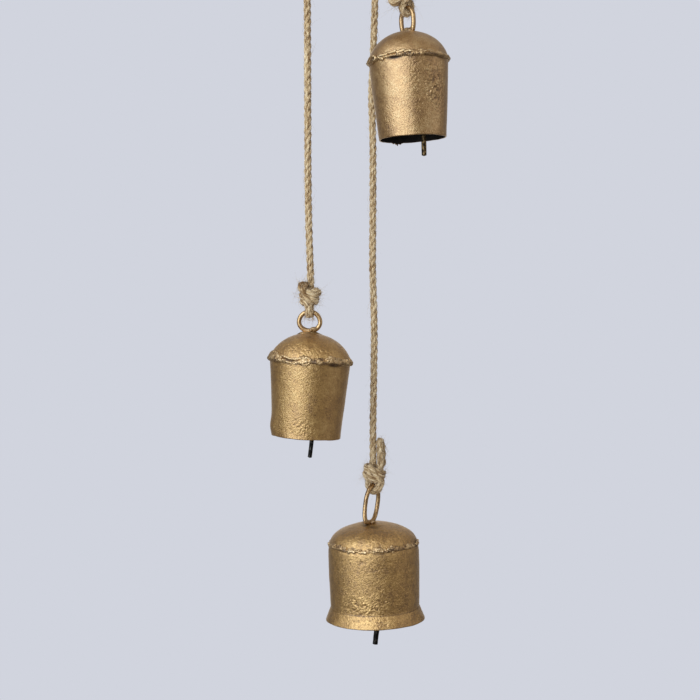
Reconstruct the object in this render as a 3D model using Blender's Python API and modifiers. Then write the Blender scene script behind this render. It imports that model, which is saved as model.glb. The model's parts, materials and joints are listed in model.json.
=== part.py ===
"""Three hand-made cow bells on jute cords, hanging from hooks in a round wooden ceiling block.

The world origin is the middle of the block's top face, which lies against the ceiling. Sizes are
written in millimetres and multiplied by MM. X is to the right, Y is away from the viewer, Z is up.
"""

import math

import bmesh
import bpy
from mathutils import Euler, Matrix, Vector

MM = 0.001
GAP = 0.3
CUT_OVERRUN = 1.0
JOINT_MARK_SIZE = 10.0

# Round ceiling block, with two countersunk holes for the screws that fix it
BLOCK_RADIUS = 55.0
BLOCK_THICKNESS = 14.0
BLOCK_TOP_CHAMFER = 0.8
BLOCK_EDGE_RADIUS = 2.5
FIXING_HOLE_X = -10.0
FIXING_HOLE_SPACING = 76.0
FIXING_HOLE_RADIUS = 2.3
COUNTERSINK_RADIUS = 4.6
COUNTERSINK_DEPTH = 2.6

# Cup hooks, screwed into the block's underside. The seat is the middle of the hook's lowest wire.
HOOK_DROP = 28.0
HOOK_WIRE_RADIUS = 1.3
HOOK_BEND_RADIUS = 7.0
HOOK_TIP_ANGLE = 112.0
HOOK_NECK_ANGLE = 120.0
HOOK_NECK_HEIGHT = 23.0
HOOK_NECK_HANDLE = 5.5
HOOK_WOOD_ABOVE = 4.0
HOOK_HOLE_CLEARANCE = 0.35
HOOK_COLLAR_RADIUS = 4.2
HOOK_COLLAR_THICKNESS = 1.2

# From each hook's seat down to the middle of its bell's top ring wire
UPPER_HANG = 91.2
MIDDLE_HANG = 296.15
LOWER_HANG = 421.7

# Jute cord and the loop that hangs it on its hook
CORD_RADIUS = 2.6
EYE_KNOT_DROP = 19.5
EYE_KNOT_RADII = (6.4, 6.2, 6.6)
EYE_LEG_END = 2.8
EYE_LEG_DROP = 17.0
EYE_TAIL_RADIUS = 2.5
EYE_TAIL = [(3.0, -2.4, 0.5), (6.2, -3.6, -3.0), (9.0, -4.6, -8.0)]
KNOT_TAIL_RADIUS = 2.5
BIGHT_END_SHARE = 0.35

# Sheet metal, wire and braze
SHEET = 1.2
MOUTH_ROUNDING = 0.25
RING_WIRE_RADIUS = 1.45
LAP_THICKNESS = 0.45
LAP_WIDTH = 9.0
LAP_START = 4.0
LAP_END = 1.0
BRAZE_RADII = (4.6, 3.4, 4.3)
BRAZE_UNDERSIDE_DEPTH = 1.0

# Staple and clapper
STAPLE_WIRE_RADIUS = 1.1
STAPLE_HALF_WIDTH = 5.2
STAPLE_CORNER_RADIUS = 3.4
STAPLE_DEPTH = 9.5
STAPLE_TOP_CLEARANCE = 0.6
CLAPPER_EYE_WIRE_RADIUS = 1.5

# Shape of the braze bead: how much its thickness swells, and its lumps as (count, phase, strength)
BEAD_SWELL = 0.14
BEAD_LUMPS = [(17, 0.0, 1.0), (7, 1.0, 0.7), (11, 2.0, 0.5)]
BEAD_SECTION = [(0.0, -1.0), (0.75, -0.72), (1.0, 0.0), (0.75, 0.72), (0.0, 1.0)]

# Finish of each material: colour in linear RGB, roughness, metallic
BRASS = ((0.42, 0.27, 0.11), 0.42, 1.0)
BRAZED_BRASS = ((0.50, 0.34, 0.15), 0.38, 1.0)
RING_BRASS = ((0.45, 0.28, 0.12), 0.35, 1.0)
BLACK_IRON = ((0.02, 0.02, 0.022), 0.55, 1.0)
HOOK_BRASS = ((0.60, 0.42, 0.18), 0.25, 1.0)
JUTE = ((0.42, 0.31, 0.18), 0.95, 0.0)
OAK = ((0.36, 0.22, 0.11), 0.60, 0.0)

# One entry for each bell.
#   hook            x and y of its hook in the block
#   cord            the cord's route: x and y from the hook's seat, and the share of its length,
#                   from 0 at the eye's knot to 1 at the knot above the bell
#   hang            from the hook's seat down to the middle of the ring's top wire
#   ring_offset     x of the ring's top wire from the hook's seat
#   ring            half width, height above its widest place, height below it
#   ring_turn       turn of the ring about Z, and ring_tilt its tilt about Y, in degrees
#   ring_slides     True where the ring slides round in the cord, so the bell turns about its middle
#   lean            the bell's lean about Y at rest, in degrees
#   body_place      x and y of the body's axis from the ring's top wire, in the leaning frame
#   dome            height, radius at the shoulder, and how far its ellipse is swept, in degrees
#   taper           the skirt, as (how far inside the shoulder's radius, depth below the shoulder)
#   bead            how far the bead of braze stands out, and half its height
#   lap_azimuth     where the skirt's edges lap, in degrees from the viewer's right-hand side
#   knot_*          the knot above the ring, from the middle of the ring's top wire
#   clapper_path    the rod's x and z from the staple's lowest wire
BELLS = {
    "upper": {
        "hook": (35.2, -26.0),
        "cord": [(0.2, 0.0, 0.0), (0.3, -0.1, 0.3381), (0.6, 0.1, 0.664), (1.4, 0.0, 1.0)],
        "hang": UPPER_HANG,
        "ring_offset": 3.0,
        "ring": (7.55, 7.55, 6.40),
        "ring_turn": -60.0,
        "ring_tilt": 0.0,
        "ring_slides": False,
        "lean": -3.3,
        "body_place": (-0.8, 0.0),
        "dome": (19.8, 26.9, 82.0),
        "taper": [(0.0, 0.0), (1.1, 16.0), (2.7, 36.0), (4.1, 51.9)],
        "bead": (1.3, 1.5),
        "lap_azimuth": -28.0,
        "staple_x": 6.6,
        "clapper_radius": 1.7,
        "clapper_path": [(0.0, 0.0), (1.9, -26.0), (3.8, -52.0), (4.4, -63.0), (4.7, -73.4)],
        "bight_radius": 2.4,
        "bight_spread": 1.2,
        "knot_lift": 0.05,
        "knot_side": -1.6,
        "knot_radii": (7.6, 6.4, 6.8),
        "knot_bumps": [((3.6, -3.4, 5.2), 3.2)],
        "knot_tails": [[(-4.0, -2.0, 7.5), (-7.4, -2.6, 5.0), (-9.4, -3.0, 2.6)]],
    },
    "middle": {
        "hook": (-29.6, 0.0),
        "cord": [(0.0, 0.0, 0.0), (-0.1, 0.3, 0.1254), (0.1, 0.0, 0.3239), (0.2, -0.3, 0.5223),
                 (0.3, 0.0, 0.7049), (0.9, 0.2, 0.8398), (1.8, 0.0, 0.9391), (2.1, 0.0, 1.0)],
        "hang": MIDDLE_HANG,
        "ring_offset": 1.3,
        "ring": (7.4, 7.4, 5.65),
        "ring_turn": 0.0,
        "ring_tilt": 0.0,
        "ring_slides": True,
        "lean": 3.2,
        "body_place": (2.0, 0.0),
        "dome": (18.9, 28.5, 78.0),
        "taper": [(0.1, 0.0), (1.6, 16.0), (3.1, 34.0), (4.3, 49.0), (4.55, 53.5)],
        "bead": (1.4, 1.7),
        "lap_azimuth": 28.0,
        "staple_x": 1.4,
        "clapper_radius": 1.5,
        "clapper_path": [(0.0, 0.0), (0.2, -30.0), (-0.3, -56.0), (-1.0, -65.0), (-2.4, -77.0)],
        "bight_radius": 1.75,
        "bight_spread": 2.09,
        "knot_lift": 2.15,
        "knot_side": 1.0,
        "knot_radii": (6.7, 6.0, 6.8),
        "knot_bumps": [((6.3, -1.6, 11.6), 2.4)],
        "knot_tails": [[(-2.0, -1.6, 13.0), (-4.6, -2.4, 17.5), (-5.8, -2.8, 21.5)]],
    },
    "lower": {
        "hook": (18.6, 30.0),
        "cord": [(-0.1, 0.0, 0.0), (-0.4, 0.0, 0.0699), (-0.8, 0.0, 0.1355), (-2.0, 0.2, 0.2275),
                 (-3.1, 0.3, 0.301), (-2.6, 0.0, 0.3457), (-2.1, -0.2, 0.4035), (-2.1, 0.0, 0.5164),
                 (-2.3, 0.0, 0.611), (-1.6, 0.1, 0.6872), (-1.1, 0.0, 0.7449), (-1.4, -0.1, 0.8316),
                 (-1.9, 0.0, 0.9236), (-1.9, 0.0, 1.0)],
        "hang": LOWER_HANG,
        "ring_offset": -1.2,
        "ring": (8.2, 12.6, 13.24),
        "ring_turn": 60.0,
        "ring_tilt": 8.5,
        "ring_slides": False,
        "lean": -1.4,
        "body_place": (-1.4, 1.5),
        "dome": (16.0, 32.1, 80.0),
        "taper": [(0.0, 0.0), (0.0, 1.9), (-0.8, 3.2), (-0.8, 18.0), (-0.5, 34.0), (-0.1, 45.3),
                  (-1.9, 49.7), (-3.9, 54.6)],
        "bead": (0.95, 1.4),
        "lap_azimuth": -93.0,
        "staple_x": 2.6,
        "clapper_radius": 1.9,
        "clapper_path": [(0.0, 0.0), (0.5, -32.0), (0.3, -58.0), (-0.1, -69.5), (-1.3, -79.8)],
        "bight_radius": 2.5,
        "bight_spread": 1.25,
        "knot_lift": 0.75,
        "knot_side": 0.8,
        "knot_radii": (8.2, 6.8, 5.9),
        "knot_bumps": [((-3.8, -2.6, 8.6), 4.0), ((5.9, -2.6, 9.6), 4.0)],
        "knot_tails": [[(4.0, -3.3, 9.0), (4.3, -3.5, 18.0), (4.6, -3.4, 26.0), (5.0, -2.4, 31.0),
                        (5.3, 0.0, 33.1), (5.6, 2.4, 31.0), (5.9, 3.4, 26.0), (5.8, 3.5, 18.0),
                        (5.0, 3.3, 9.0)]],
    },
}

# Facets
TURN_STEPS = 40
BLOCK_STEPS = 48
EDGE_ARCS = 4
DOME_ARCS = 5
BEAD_POINTS = 44
RING_POINTS = 26
EYE_POINTS = 18
HALF_TURN_STEPS = 8
HOOK_BEND_STEPS = 12
HOOK_NECK_STEPS = 4
CORNER_STEPS = 3
HOLE_SIDES = 20
HOOK_HOLE_SIDES = 12
BALL_SEGMENTS = 14
BALL_RINGS = 8
WIRE_BEVEL_STEPS = 2
CORD_POINT_SPACING = 12.0
TAIL_POINT_SPACING = 4.0
CLAPPER_POINT_SPACING = 9.0
CURVE_READINGS = 20


def clear_scene():
    for obj in list(bpy.data.objects):
        bpy.data.objects.remove(obj, do_unlink=True)


def new_collection(name, hidden=False):
    made = bpy.data.collections.new(name)
    made.hide_render = hidden
    bpy.context.scene.collection.children.link(made)
    return made


clear_scene()
PARTS = new_collection("hanging_bells")
HELPERS = new_collection("cutters", hidden=True)


def finish(name, look):
    """A Principled material of one colour, roughness and metallic value."""
    colour, roughness, metallic = look
    material = bpy.data.materials.new(name)
    material.use_nodes = True
    shader = material.node_tree.nodes["Principled BSDF"]
    shader.inputs["Base Color"].default_value = (*colour, 1.0)
    shader.inputs["Roughness"].default_value = roughness
    shader.inputs["Metallic"].default_value = metallic
    material.diffuse_color = (*colour, 1.0)
    return material


def empty(name, location, rotation=(0.0, 0.0, 0.0), parent=None):
    """A joint's frame: location in millimetres, rotation in degrees."""
    made = bpy.data.objects.new(name, None)
    made.empty_display_size = JOINT_MARK_SIZE * MM
    PARTS.objects.link(made)
    return put(made, parent, location, rotation)


def put(obj, parent=None, location=(0.0, 0.0, 0.0), rotation=(0.0, 0.0, 0.0)):
    obj.parent = parent
    obj.location = Vector(location) * MM
    obj.rotation_euler = Euler([math.radians(a) for a in rotation])
    return obj


def as_part(obj, look):
    """Gives an object its own material and leaves it visible in the bells' collection."""
    obj.data.materials.clear()
    obj.data.materials.append(finish(obj.name + "_finish", look))
    return obj


def as_helper(obj):
    PARTS.objects.unlink(obj)
    HELPERS.objects.link(obj)
    obj.hide_render = True
    obj.display_type = "WIRE"
    return obj


def combine(obj, helper, operation):
    """A Boolean with a helper that stays in the helpers' collection."""
    as_helper(helper)
    made = obj.modifiers.new(helper.name, "BOOLEAN")
    made.operation = operation
    made.object = helper
    made.solver = "EXACT"
    return obj


def new_object(name, data):
    made = bpy.data.objects.new(name, data)
    PARTS.objects.link(made)
    return made


def turned(name, profile, closed, steps=TURN_STEPS):
    """A profile of (radius, height) pairs turned about Z. It runs down the outer side."""
    mesh = bpy.data.meshes.new(name)
    corners = [(r * MM, 0.0, z * MM) for r, z in profile]
    edges = [(i, i + 1) for i in range(len(corners) - 1)]
    if closed:
        edges.append((len(corners) - 1, 0))
    mesh.from_pydata(corners, edges, [])
    made = new_object(name, mesh)
    screw = made.modifiers.new("turn", "SCREW")
    screw.axis = "Z"
    screw.steps = steps
    screw.render_steps = steps
    screw.use_merge_vertices = True
    screw.merge_threshold = 0.00001
    screw.use_smooth_shade = True
    return made


def wire(name, points, radius, cyclic=False):
    """A round tube through points in millimetres, capped unless it closes on itself."""
    curve = bpy.data.curves.new(name, "CURVE")
    curve.dimensions = "3D"
    curve.bevel_depth = radius * MM
    curve.bevel_resolution = WIRE_BEVEL_STEPS
    curve.use_fill_caps = not cyclic
    spline = curve.splines.new("POLY")
    spline.points.add(len(points) - 1)
    for point, place in zip(spline.points, points):
        point.co = (*(Vector(place) * MM), 1.0)
    spline.use_cyclic_u = cyclic
    return new_object(name, curve)


def as_mesh(obj, stretch=(1.0, 1.0, 1.0), turn=0.0):
    """The mesh of a tube, its caps welded on, stretched and then turned about Z in degrees."""
    bpy.context.view_layer.update()
    name = obj.name
    mesh = bpy.data.meshes.new_from_object(obj.evaluated_get(bpy.context.evaluated_depsgraph_get()))
    curve = obj.data
    bpy.data.objects.remove(obj, do_unlink=True)
    bpy.data.curves.remove(curve)
    work = bmesh.new()
    work.from_mesh(mesh)
    bmesh.ops.remove_doubles(work, verts=work.verts, dist=0.000001)
    bmesh.ops.scale(work, vec=stretch, verts=work.verts)
    turned_by = Matrix.Rotation(math.radians(turn), 3, "Z")
    bmesh.ops.rotate(work, cent=(0, 0, 0), matrix=turned_by, verts=work.verts)
    bmesh.ops.recalc_face_normals(work, faces=work.faces)
    work.to_mesh(mesh)
    work.free()
    mesh.name = name
    return new_object(name, mesh)


def ball(name, centre, radii, segments=BALL_SEGMENTS):
    """An ellipsoid at a centre in millimetres."""
    mesh = bpy.data.meshes.new(name)
    work = bmesh.new()
    bmesh.ops.create_uvsphere(work, u_segments=segments, v_segments=BALL_RINGS, radius=1.0)
    bmesh.ops.scale(work, vec=Vector(radii) * MM, verts=work.verts)
    bmesh.ops.translate(work, vec=Vector(centre) * MM, verts=work.verts)
    work.to_mesh(mesh)
    work.free()
    mesh.shade_smooth()
    return new_object(name, mesh)


def rod(name, radius, bottom, top, place=(0.0, 0.0), top_radius=None, sides=HOLE_SIDES):
    """An upright cylinder or cone between two heights."""
    mesh = bpy.data.meshes.new(name)
    work = bmesh.new()
    bmesh.ops.create_cone(
        work,
        cap_ends=True,
        segments=sides,
        radius1=radius * MM,
        radius2=(radius if top_radius is None else top_radius) * MM,
        depth=(top - bottom) * MM,
    )
    middle = Vector((place[0], place[1], (top + bottom) / 2)) * MM
    bmesh.ops.translate(work, vec=middle, verts=work.verts)
    work.to_mesh(mesh)
    work.free()
    return new_object(name, mesh)


def block_box(name, size):
    """A box about its own middle."""
    mesh = bpy.data.meshes.new(name)
    work = bmesh.new()
    bmesh.ops.create_cube(work, size=1.0)
    bmesh.ops.scale(work, vec=Vector(size) * MM, verts=work.verts)
    work.to_mesh(mesh)
    work.free()
    return new_object(name, mesh)


def arc(radius, start, end, steps):
    """(across, up) pairs on a circle about the origin, between two angles in degrees."""
    angles = [math.radians(start + (end - start) * n / steps) for n in range(steps + 1)]
    return [(radius * math.cos(a), radius * math.sin(a)) for a in angles]


def mirrored(points):
    """A path in the YZ plane, followed by its mirror image in reverse."""
    return [*points, *[(x, -y, z) for x, y, z in reversed(points)]]


def smooth_path(points, spacing):
    """Points read at an even spacing from a smooth curve through hand-chosen points."""
    ends = [Vector(p) for p in points]
    ends = [2 * ends[0] - ends[1], *ends, 2 * ends[-1] - ends[-2]]
    dense = []
    for a, b, c, d in zip(ends, ends[1:], ends[2:], ends[3:]):
        for step in range(CURVE_READINGS):
            t = step / CURVE_READINGS
            line = 2 * b + (c - a) * t
            bend = (2 * a - 5 * b + 4 * c - d) * t**2 + (3 * b - a - 3 * c + d) * t**3
            dense.append(0.5 * (line + bend))
    dense.append(ends[-2])
    lengths = [0.0]
    for a, b in zip(dense, dense[1:]):
        lengths.append(lengths[-1] + (b - a).length)
    count = max(2, round(lengths[-1] / spacing))
    found, at = [], 0
    for n in range(count + 1):
        target = lengths[-1] * n / count
        while at < len(dense) - 2 and lengths[at + 1] < target:
            at += 1
        share = (target - lengths[at]) / (lengths[at + 1] - lengths[at])
        found.append(dense[at].lerp(dense[at + 1], share))
    return found


def hook_seat(bell):
    return Vector((*bell["hook"], -BLOCK_THICKNESS - HOOK_DROP))


def ring_height(bell):
    """From the middle of the ring's top wire down to the middle of its lowest wire, along the ring."""
    _, above, below = bell["ring"]
    return above + below


def pivot_drop(bell):
    """How far the bell's pivot is below the ring's top wire."""
    return bell["ring"][1] if bell["ring_slides"] else 0.0


def tilt_of(bell):
    return Matrix.Rotation(math.radians(bell["ring_tilt"]), 3, "Y")


def ring_foot(bell):
    """The ring's lowest wire from its top wire, in the bell's frame."""
    return tilt_of(bell) @ Vector((0.0, 0.0, -ring_height(bell)))


def dome_top(bell):
    """The height of the dome's top, which carries the ring, in the bell's frame."""
    return pivot_drop(bell) + ring_foot(bell).z - RING_WIRE_RADIUS - GAP


def body_place(bell):
    """The middle of the shoulder in the bell's frame."""
    return Vector((*bell["body_place"], dome_top(bell) - bell["dome"][0]))


def skirt_line(bell):
    """(radius, height) pairs down the skirt's outside, from the shoulder."""
    return [(bell["dome"][1] - inset, -depth) for inset, depth in bell["taper"]]


def radius_at(line, z):
    """The skirt's outer radius at a height below the shoulder."""
    for (r1, z1), (r2, z2) in zip(line, line[1:]):
        if z2 <= z <= z1:
            return r1 + (r2 - r1) * (z1 - z) / (z1 - z2)
    return line[-1][0]


def dome_ellipse(bell):
    """The dome's half width and half height as an ellipse, and the angle it is swept to, in radians."""
    height, radius, degrees = bell["dome"]
    sweep = math.radians(degrees)
    return radius / math.sin(sweep), height / (1 - math.cos(sweep)), sweep


def dome_profile(bell, extra=0.0):
    """(radius, height) pairs down the dome's ellipse, from the axis to the rim, grown by an even amount."""
    wide, tall, sweep = dome_ellipse(bell)
    middle = bell["dome"][0] - tall
    found = []
    for n in range(DOME_ARCS + 1):
        a = sweep * n / DOME_ARCS
        out, up = math.sin(a) / wide, math.cos(a) / tall
        share = extra / math.hypot(out, up)
        found.append((wide * math.sin(a) + share * out, middle + tall * math.cos(a) + share * up))
    return found


def knot_middle(bell):
    """The middle of the knot above the bell, from the ring's top wire."""
    up = RING_WIRE_RADIUS + GAP + bell["knot_lift"] + bell["knot_radii"][2]
    return Vector((bell["knot_side"], 0.0, up))


def cord_route(bell):
    """The cord's chosen points from its hook's seat. Its ends are a gap away from the two knots."""
    top = -(EYE_KNOT_DROP + EYE_KNOT_RADII[2] + GAP)
    bottom = -bell["hang"] + knot_middle(bell).z + bell["knot_radii"][2] + GAP
    return [Vector((x, y, top + (bottom - top) * share)) for x, y, share in bell["cord"]]


def ceiling_block():
    outline = [(0.0, 0.0), (BLOCK_RADIUS - BLOCK_TOP_CHAMFER, 0.0), (BLOCK_RADIUS, -BLOCK_TOP_CHAMFER)]
    for across, up in arc(BLOCK_EDGE_RADIUS, 0.0, -90.0, EDGE_ARCS):
        middle = (BLOCK_RADIUS - BLOCK_EDGE_RADIUS, -BLOCK_THICKNESS + BLOCK_EDGE_RADIUS)
        outline.append((middle[0] + across, middle[1] + up))
    outline.append((0.0, -BLOCK_THICKNESS))
    block = turned("ceiling_block", outline, closed=False, steps=BLOCK_STEPS)
    below = -BLOCK_THICKNESS - CUT_OVERRUN
    slope = (COUNTERSINK_RADIUS - FIXING_HOLE_RADIUS) / COUNTERSINK_DEPTH
    for n, y in enumerate((-FIXING_HOLE_SPACING / 2, FIXING_HOLE_SPACING / 2)):
        place = (FIXING_HOLE_X, y)
        hole = rod(f"fixing_hole_{n}", FIXING_HOLE_RADIUS, below, CUT_OVERRUN, place)
        combine(block, hole, "DIFFERENCE")
        sink_top = -BLOCK_THICKNESS + COUNTERSINK_DEPTH + GAP
        sink = rod(
            f"countersink_{n}",
            COUNTERSINK_RADIUS + slope * CUT_OVERRUN,
            below,
            sink_top,
            place,
            top_radius=FIXING_HOLE_RADIUS - slope * GAP,
        )
        combine(block, sink, "DIFFERENCE")
    for name, bell in BELLS.items():
        hole = rod(
            f"{name}_shank_hole",
            HOOK_WIRE_RADIUS + HOOK_HOLE_CLEARANCE,
            below,
            -HOOK_WOOD_ABOVE + GAP,
            bell["hook"],
            sides=HOOK_HOLE_SIDES,
        )
        combine(block, hole, "DIFFERENCE")
    return as_part(block, OAK)


def hook_neck(start, heading, top):
    """A cubic curve from the end of the bend, along its heading, to the shank straight above the seat."""
    first = start + heading * HOOK_NECK_HANDLE
    last = top - Vector((0.0, 0.0, HOOK_NECK_HANDLE))
    found = []
    for n in range(1, HOOK_NECK_STEPS + 1):
        t = n / HOOK_NECK_STEPS
        near = (1 - t) ** 3 * start + 3 * (1 - t) ** 2 * t * first
        found.append(near + 3 * (1 - t) * t**2 * last + t**3 * top)
    return found


def cup_hook(name, bell):
    """A hook of round wire with a collar. Its lowest wire is at the seat, and it opens to the right."""
    seat = hook_seat(bell)
    bend = arc(HOOK_BEND_RADIUS, HOOK_TIP_ANGLE - 90.0, -HOOK_NECK_ANGLE - 90.0, HOOK_BEND_STEPS)
    path = [Vector((across, 0.0, HOOK_BEND_RADIUS + up)) for across, up in bend]
    heading = Matrix.Rotation(math.radians(HOOK_NECK_ANGLE), 3, "Y") @ Vector((-1.0, 0.0, 0.0))
    path += hook_neck(path[-1], heading, Vector((0.0, 0.0, HOOK_NECK_HEIGHT)))
    path.append(Vector((0.0, 0.0, -HOOK_WOOD_ABOVE - seat.z)))
    hook = as_mesh(wire(f"{name}_hook", path, HOOK_WIRE_RADIUS))
    collar_top = HOOK_DROP - GAP
    collar = rod(f"{name}_hook_collar", HOOK_COLLAR_RADIUS, collar_top - HOOK_COLLAR_THICKNESS, collar_top)
    combine(hook, put(collar, location=seat), "UNION")
    return put(as_part(hook, HOOK_BRASS), location=seat)


def cord_eye(name, swing):
    """The cord's loop over the hook, closed by a knot with a short tail. Its origin is the hook's wire."""
    bend = HOOK_WIRE_RADIUS + GAP + CORD_RADIUS
    leg = []
    for n in range(HALF_TURN_STEPS // 2):
        share = n / (HALF_TURN_STEPS // 2)
        across = EYE_LEG_END + (bend - EYE_LEG_END) * math.sin(math.pi / 2 * share)
        leg.append((0.0, -across, -EYE_LEG_DROP * (1 - share)))
    quarter = [(0.0, across, up) for across, up in arc(bend, 180.0, 90.0, HALF_TURN_STEPS // 2)]
    path = mirrored([*leg, *quarter[:-1]])
    path.insert(len(path) // 2, quarter[-1])
    eye = as_mesh(wire(f"{name}_cord_eye", path, CORD_RADIUS))
    knot = ball(f"{name}_eye_knot", (0.0, 0.0, -EYE_KNOT_DROP), EYE_KNOT_RADII)
    combine(eye, put(knot, swing), "UNION")
    tail = as_mesh(wire(f"{name}_eye_tail", EYE_TAIL, EYE_TAIL_RADIUS))
    combine(eye, put(tail, swing, (0.0, 0.0, -EYE_KNOT_DROP)), "UNION")
    return put(as_part(eye, JUTE), swing)


def cord_length(name, bell, swing):
    """The cord's free stretch, from the knot of the eye to the knot above the bell."""
    cord = wire(f"{name}_cord", smooth_path(cord_route(bell), CORD_POINT_SPACING), CORD_RADIUS)
    return put(as_part(cord, JUTE), swing)


def cord_knot(name, bell, swing):
    """The knot above a bell, with the bend of cord that holds the ring. Its origin is the ring's top wire."""
    place = (bell["ring_offset"], 0.0, -bell["hang"])
    thick = bell["bight_radius"]
    bend = RING_WIRE_RADIUS + GAP + thick
    middle = knot_middle(bell)
    leg = [(0.0, BIGHT_END_SHARE * bend, middle.z), (0.0, 0.95 * bend, 0.42 * middle.z)]
    quarter = [(0.0, across, up) for across, up in arc(bend, 0.0, -90.0, HALF_TURN_STEPS // 2)]
    path = mirrored([*leg, *quarter[:-1]])
    path.insert(len(path) // 2, quarter[-1])
    spread = (bell["bight_spread"], 1.0, 1.0)
    knot = as_mesh(wire(f"{name}_cord_knot", path, thick), stretch=spread, turn=bell["ring_turn"])
    body = ball(f"{name}_knot_body", middle, bell["knot_radii"])
    combine(knot, put(body, swing, place), "UNION")
    for n, (centre, radius) in enumerate(bell["knot_bumps"]):
        bump = ball(f"{name}_knot_bump_{n}", centre, (radius, radius, radius), segments=12)
        combine(knot, put(bump, swing, place), "UNION")
    for n, points in enumerate(bell["knot_tails"]):
        path = smooth_path(points, TAIL_POINT_SPACING)
        tail = as_mesh(wire(f"{name}_knot_tail_{n}", path, KNOT_TAIL_RADIUS))
        combine(knot, put(tail, swing, place), "UNION")
    return put(as_part(knot, JUTE), swing, place)


def ring_points(bell):
    """The ring's centreline in its own plane, from its top wire: a half circle over a half ellipse."""
    half_width, above, below = bell["ring"]
    points = []
    for n in range(RING_POINTS):
        a = 2 * math.pi * n / RING_POINTS
        tall = above if math.sin(a) >= 0 else below
        points.append((half_width * math.cos(a), 0.0, tall * math.sin(a) - above))
    return points


def ring_place(bell):
    """The ring's top wire in the bell's frame, and its rotation in degrees: a turn, then a tilt."""
    turn = Matrix.Rotation(math.radians(bell["ring_turn"]), 3, "Z")
    return (0.0, 0.0, pivot_drop(bell)), [math.degrees(a) for a in (tilt_of(bell) @ turn).to_euler()]


def bell_ring(name, bell, pivot):
    ring = as_mesh(wire(f"{name}_bell_ring", ring_points(bell), RING_WIRE_RADIUS, cyclic=True))
    place, turn = ring_place(bell)
    return put(as_part(ring, RING_BRASS), pivot, place, turn)


def ring_braze(name, bell, pivot):
    """The lump of braze that fixes the ring to the dome. The ring passes through it."""
    place, turn = ring_place(bell)
    foot = ring_foot(bell)
    centre = Vector((foot.x, foot.y, dome_top(bell)))
    lump = ball(f"{name}_ring_braze", (0.0, 0.0, 0.0), BRAZE_RADII)
    braze = put(lump, pivot, centre, (0.0, 0.0, bell["ring_turn"]))
    underside = [*dome_profile(bell, extra=GAP), (0.0, -BRAZE_UNDERSIDE_DEPTH)]
    under = turned(f"{name}_braze_underside", underside, closed=False)
    combine(braze, put(under, pivot, body_place(bell)), "DIFFERENCE")
    tunnel = as_mesh(wire(f"{name}_braze_tunnel", ring_points(bell), RING_WIRE_RADIUS + GAP, cyclic=True))
    combine(braze, put(tunnel, pivot, place, turn), "DIFFERENCE")
    return as_part(braze, BRAZED_BRASS)


def bell_dome(name, bell, pivot):
    outer = dome_profile(bell)
    inner = dome_profile(bell, extra=-SHEET)
    outer[-1] = (outer[-1][0], GAP / 2)
    inner[-1] = (inner[-1][0], GAP / 2)
    dome = turned(f"{name}_bell_dome", [*outer, *reversed(inner)], closed=False)
    return put(as_part(dome, BRASS), pivot, body_place(bell))


def bell_skirt(name, bell, pivot):
    """The rolled sheet below the dome, with the strip where its two edges lap."""
    place = body_place(bell)
    line = skirt_line(bell)
    outer = [(line[0][0], -GAP / 2), *line[1:]]
    mouth = outer[-1]
    inner = [(r - SHEET, z) for r, z in outer]
    round_off = MOUTH_ROUNDING * SHEET
    lip = [(mouth[0] - round_off, mouth[1] - round_off), (mouth[0] - SHEET + round_off, mouth[1] - round_off)]
    skirt = turned(f"{name}_bell_skirt", [*outer, *lip, *reversed(inner)], closed=True)
    top, bottom = -LAP_START, mouth[1] + LAP_END
    heights = [top, *[z for _, z in outer if bottom < z < top], bottom]
    faces = [(radius_at(line, z) + LAP_THICKNESS, z) for z in heights]
    backs = [(r - LAP_THICKNESS - SHEET / 2, z) for r, z in faces]
    lap = turned(f"{name}_lap", [*faces, *reversed(backs)], closed=True)
    azimuth = math.radians(bell["lap_azimuth"])
    reach = line[0][0]
    middle = Vector((reach * math.cos(azimuth), reach * math.sin(azimuth), mouth[1] / 2))
    keep = block_box(f"{name}_lap_side", (reach, LAP_WIDTH, -2 * mouth[1]))
    put(keep, pivot, place + middle, (0.0, 0.0, bell["lap_azimuth"]))
    combine(put(lap, pivot, place), keep, "INTERSECT")
    combine(skirt, lap, "UNION")
    return put(as_part(skirt, BRASS), pivot, place)


def bead_swell(share):
    """The bead's thickness at a share of its way round, where 1 is the thickest it can be."""
    strengths = sum(strength for _, _, strength in BEAD_LUMPS)
    turn = 2 * math.pi * share
    waves = sum(strength * math.sin(count * turn + phase) for count, phase, strength in BEAD_LUMPS)
    return 1 - BEAD_SWELL + BEAD_SWELL * waves / strengths


def seam_bead(name, bell, pivot):
    """The lumpy bead of braze round the joint of dome and skirt."""
    depth, half_height = bell["bead"]
    outline = bpy.data.curves.new(f"{name}_bead_section", "CURVE")
    outline.dimensions = "2D"
    section = outline.splines.new("POLY")
    section.points.add(len(BEAD_SECTION) - 1)
    for point, (out, up) in zip(section.points, BEAD_SECTION):
        point.co = (out * depth * MM, up * half_height * MM, 0.0, 1.0)
    section.use_cyclic_u = True
    guide = as_helper(new_object(f"{name}_bead_section", outline))
    circle = arc(bell["dome"][1] + GAP, 0.0, 360.0, BEAD_POINTS)
    bead = wire(f"{name}_seam_bead", [(x, y, 0.0) for x, y in circle[:-1]], 0.0, cyclic=True)
    bead.data.bevel_mode = "OBJECT"
    bead.data.bevel_object = guide
    bead.data.twist_mode = "Z_UP"
    for n, point in enumerate(bead.data.splines[0].points):
        point.radius = bead_swell(n / BEAD_POINTS)
    return put(as_part(as_mesh(bead), BRAZED_BRASS), pivot, body_place(bell))


def staple_low(bell):
    """The height of the staple's lowest wire above the shoulder."""
    return bell["dome"][0] - SHEET - STAPLE_DEPTH


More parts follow.
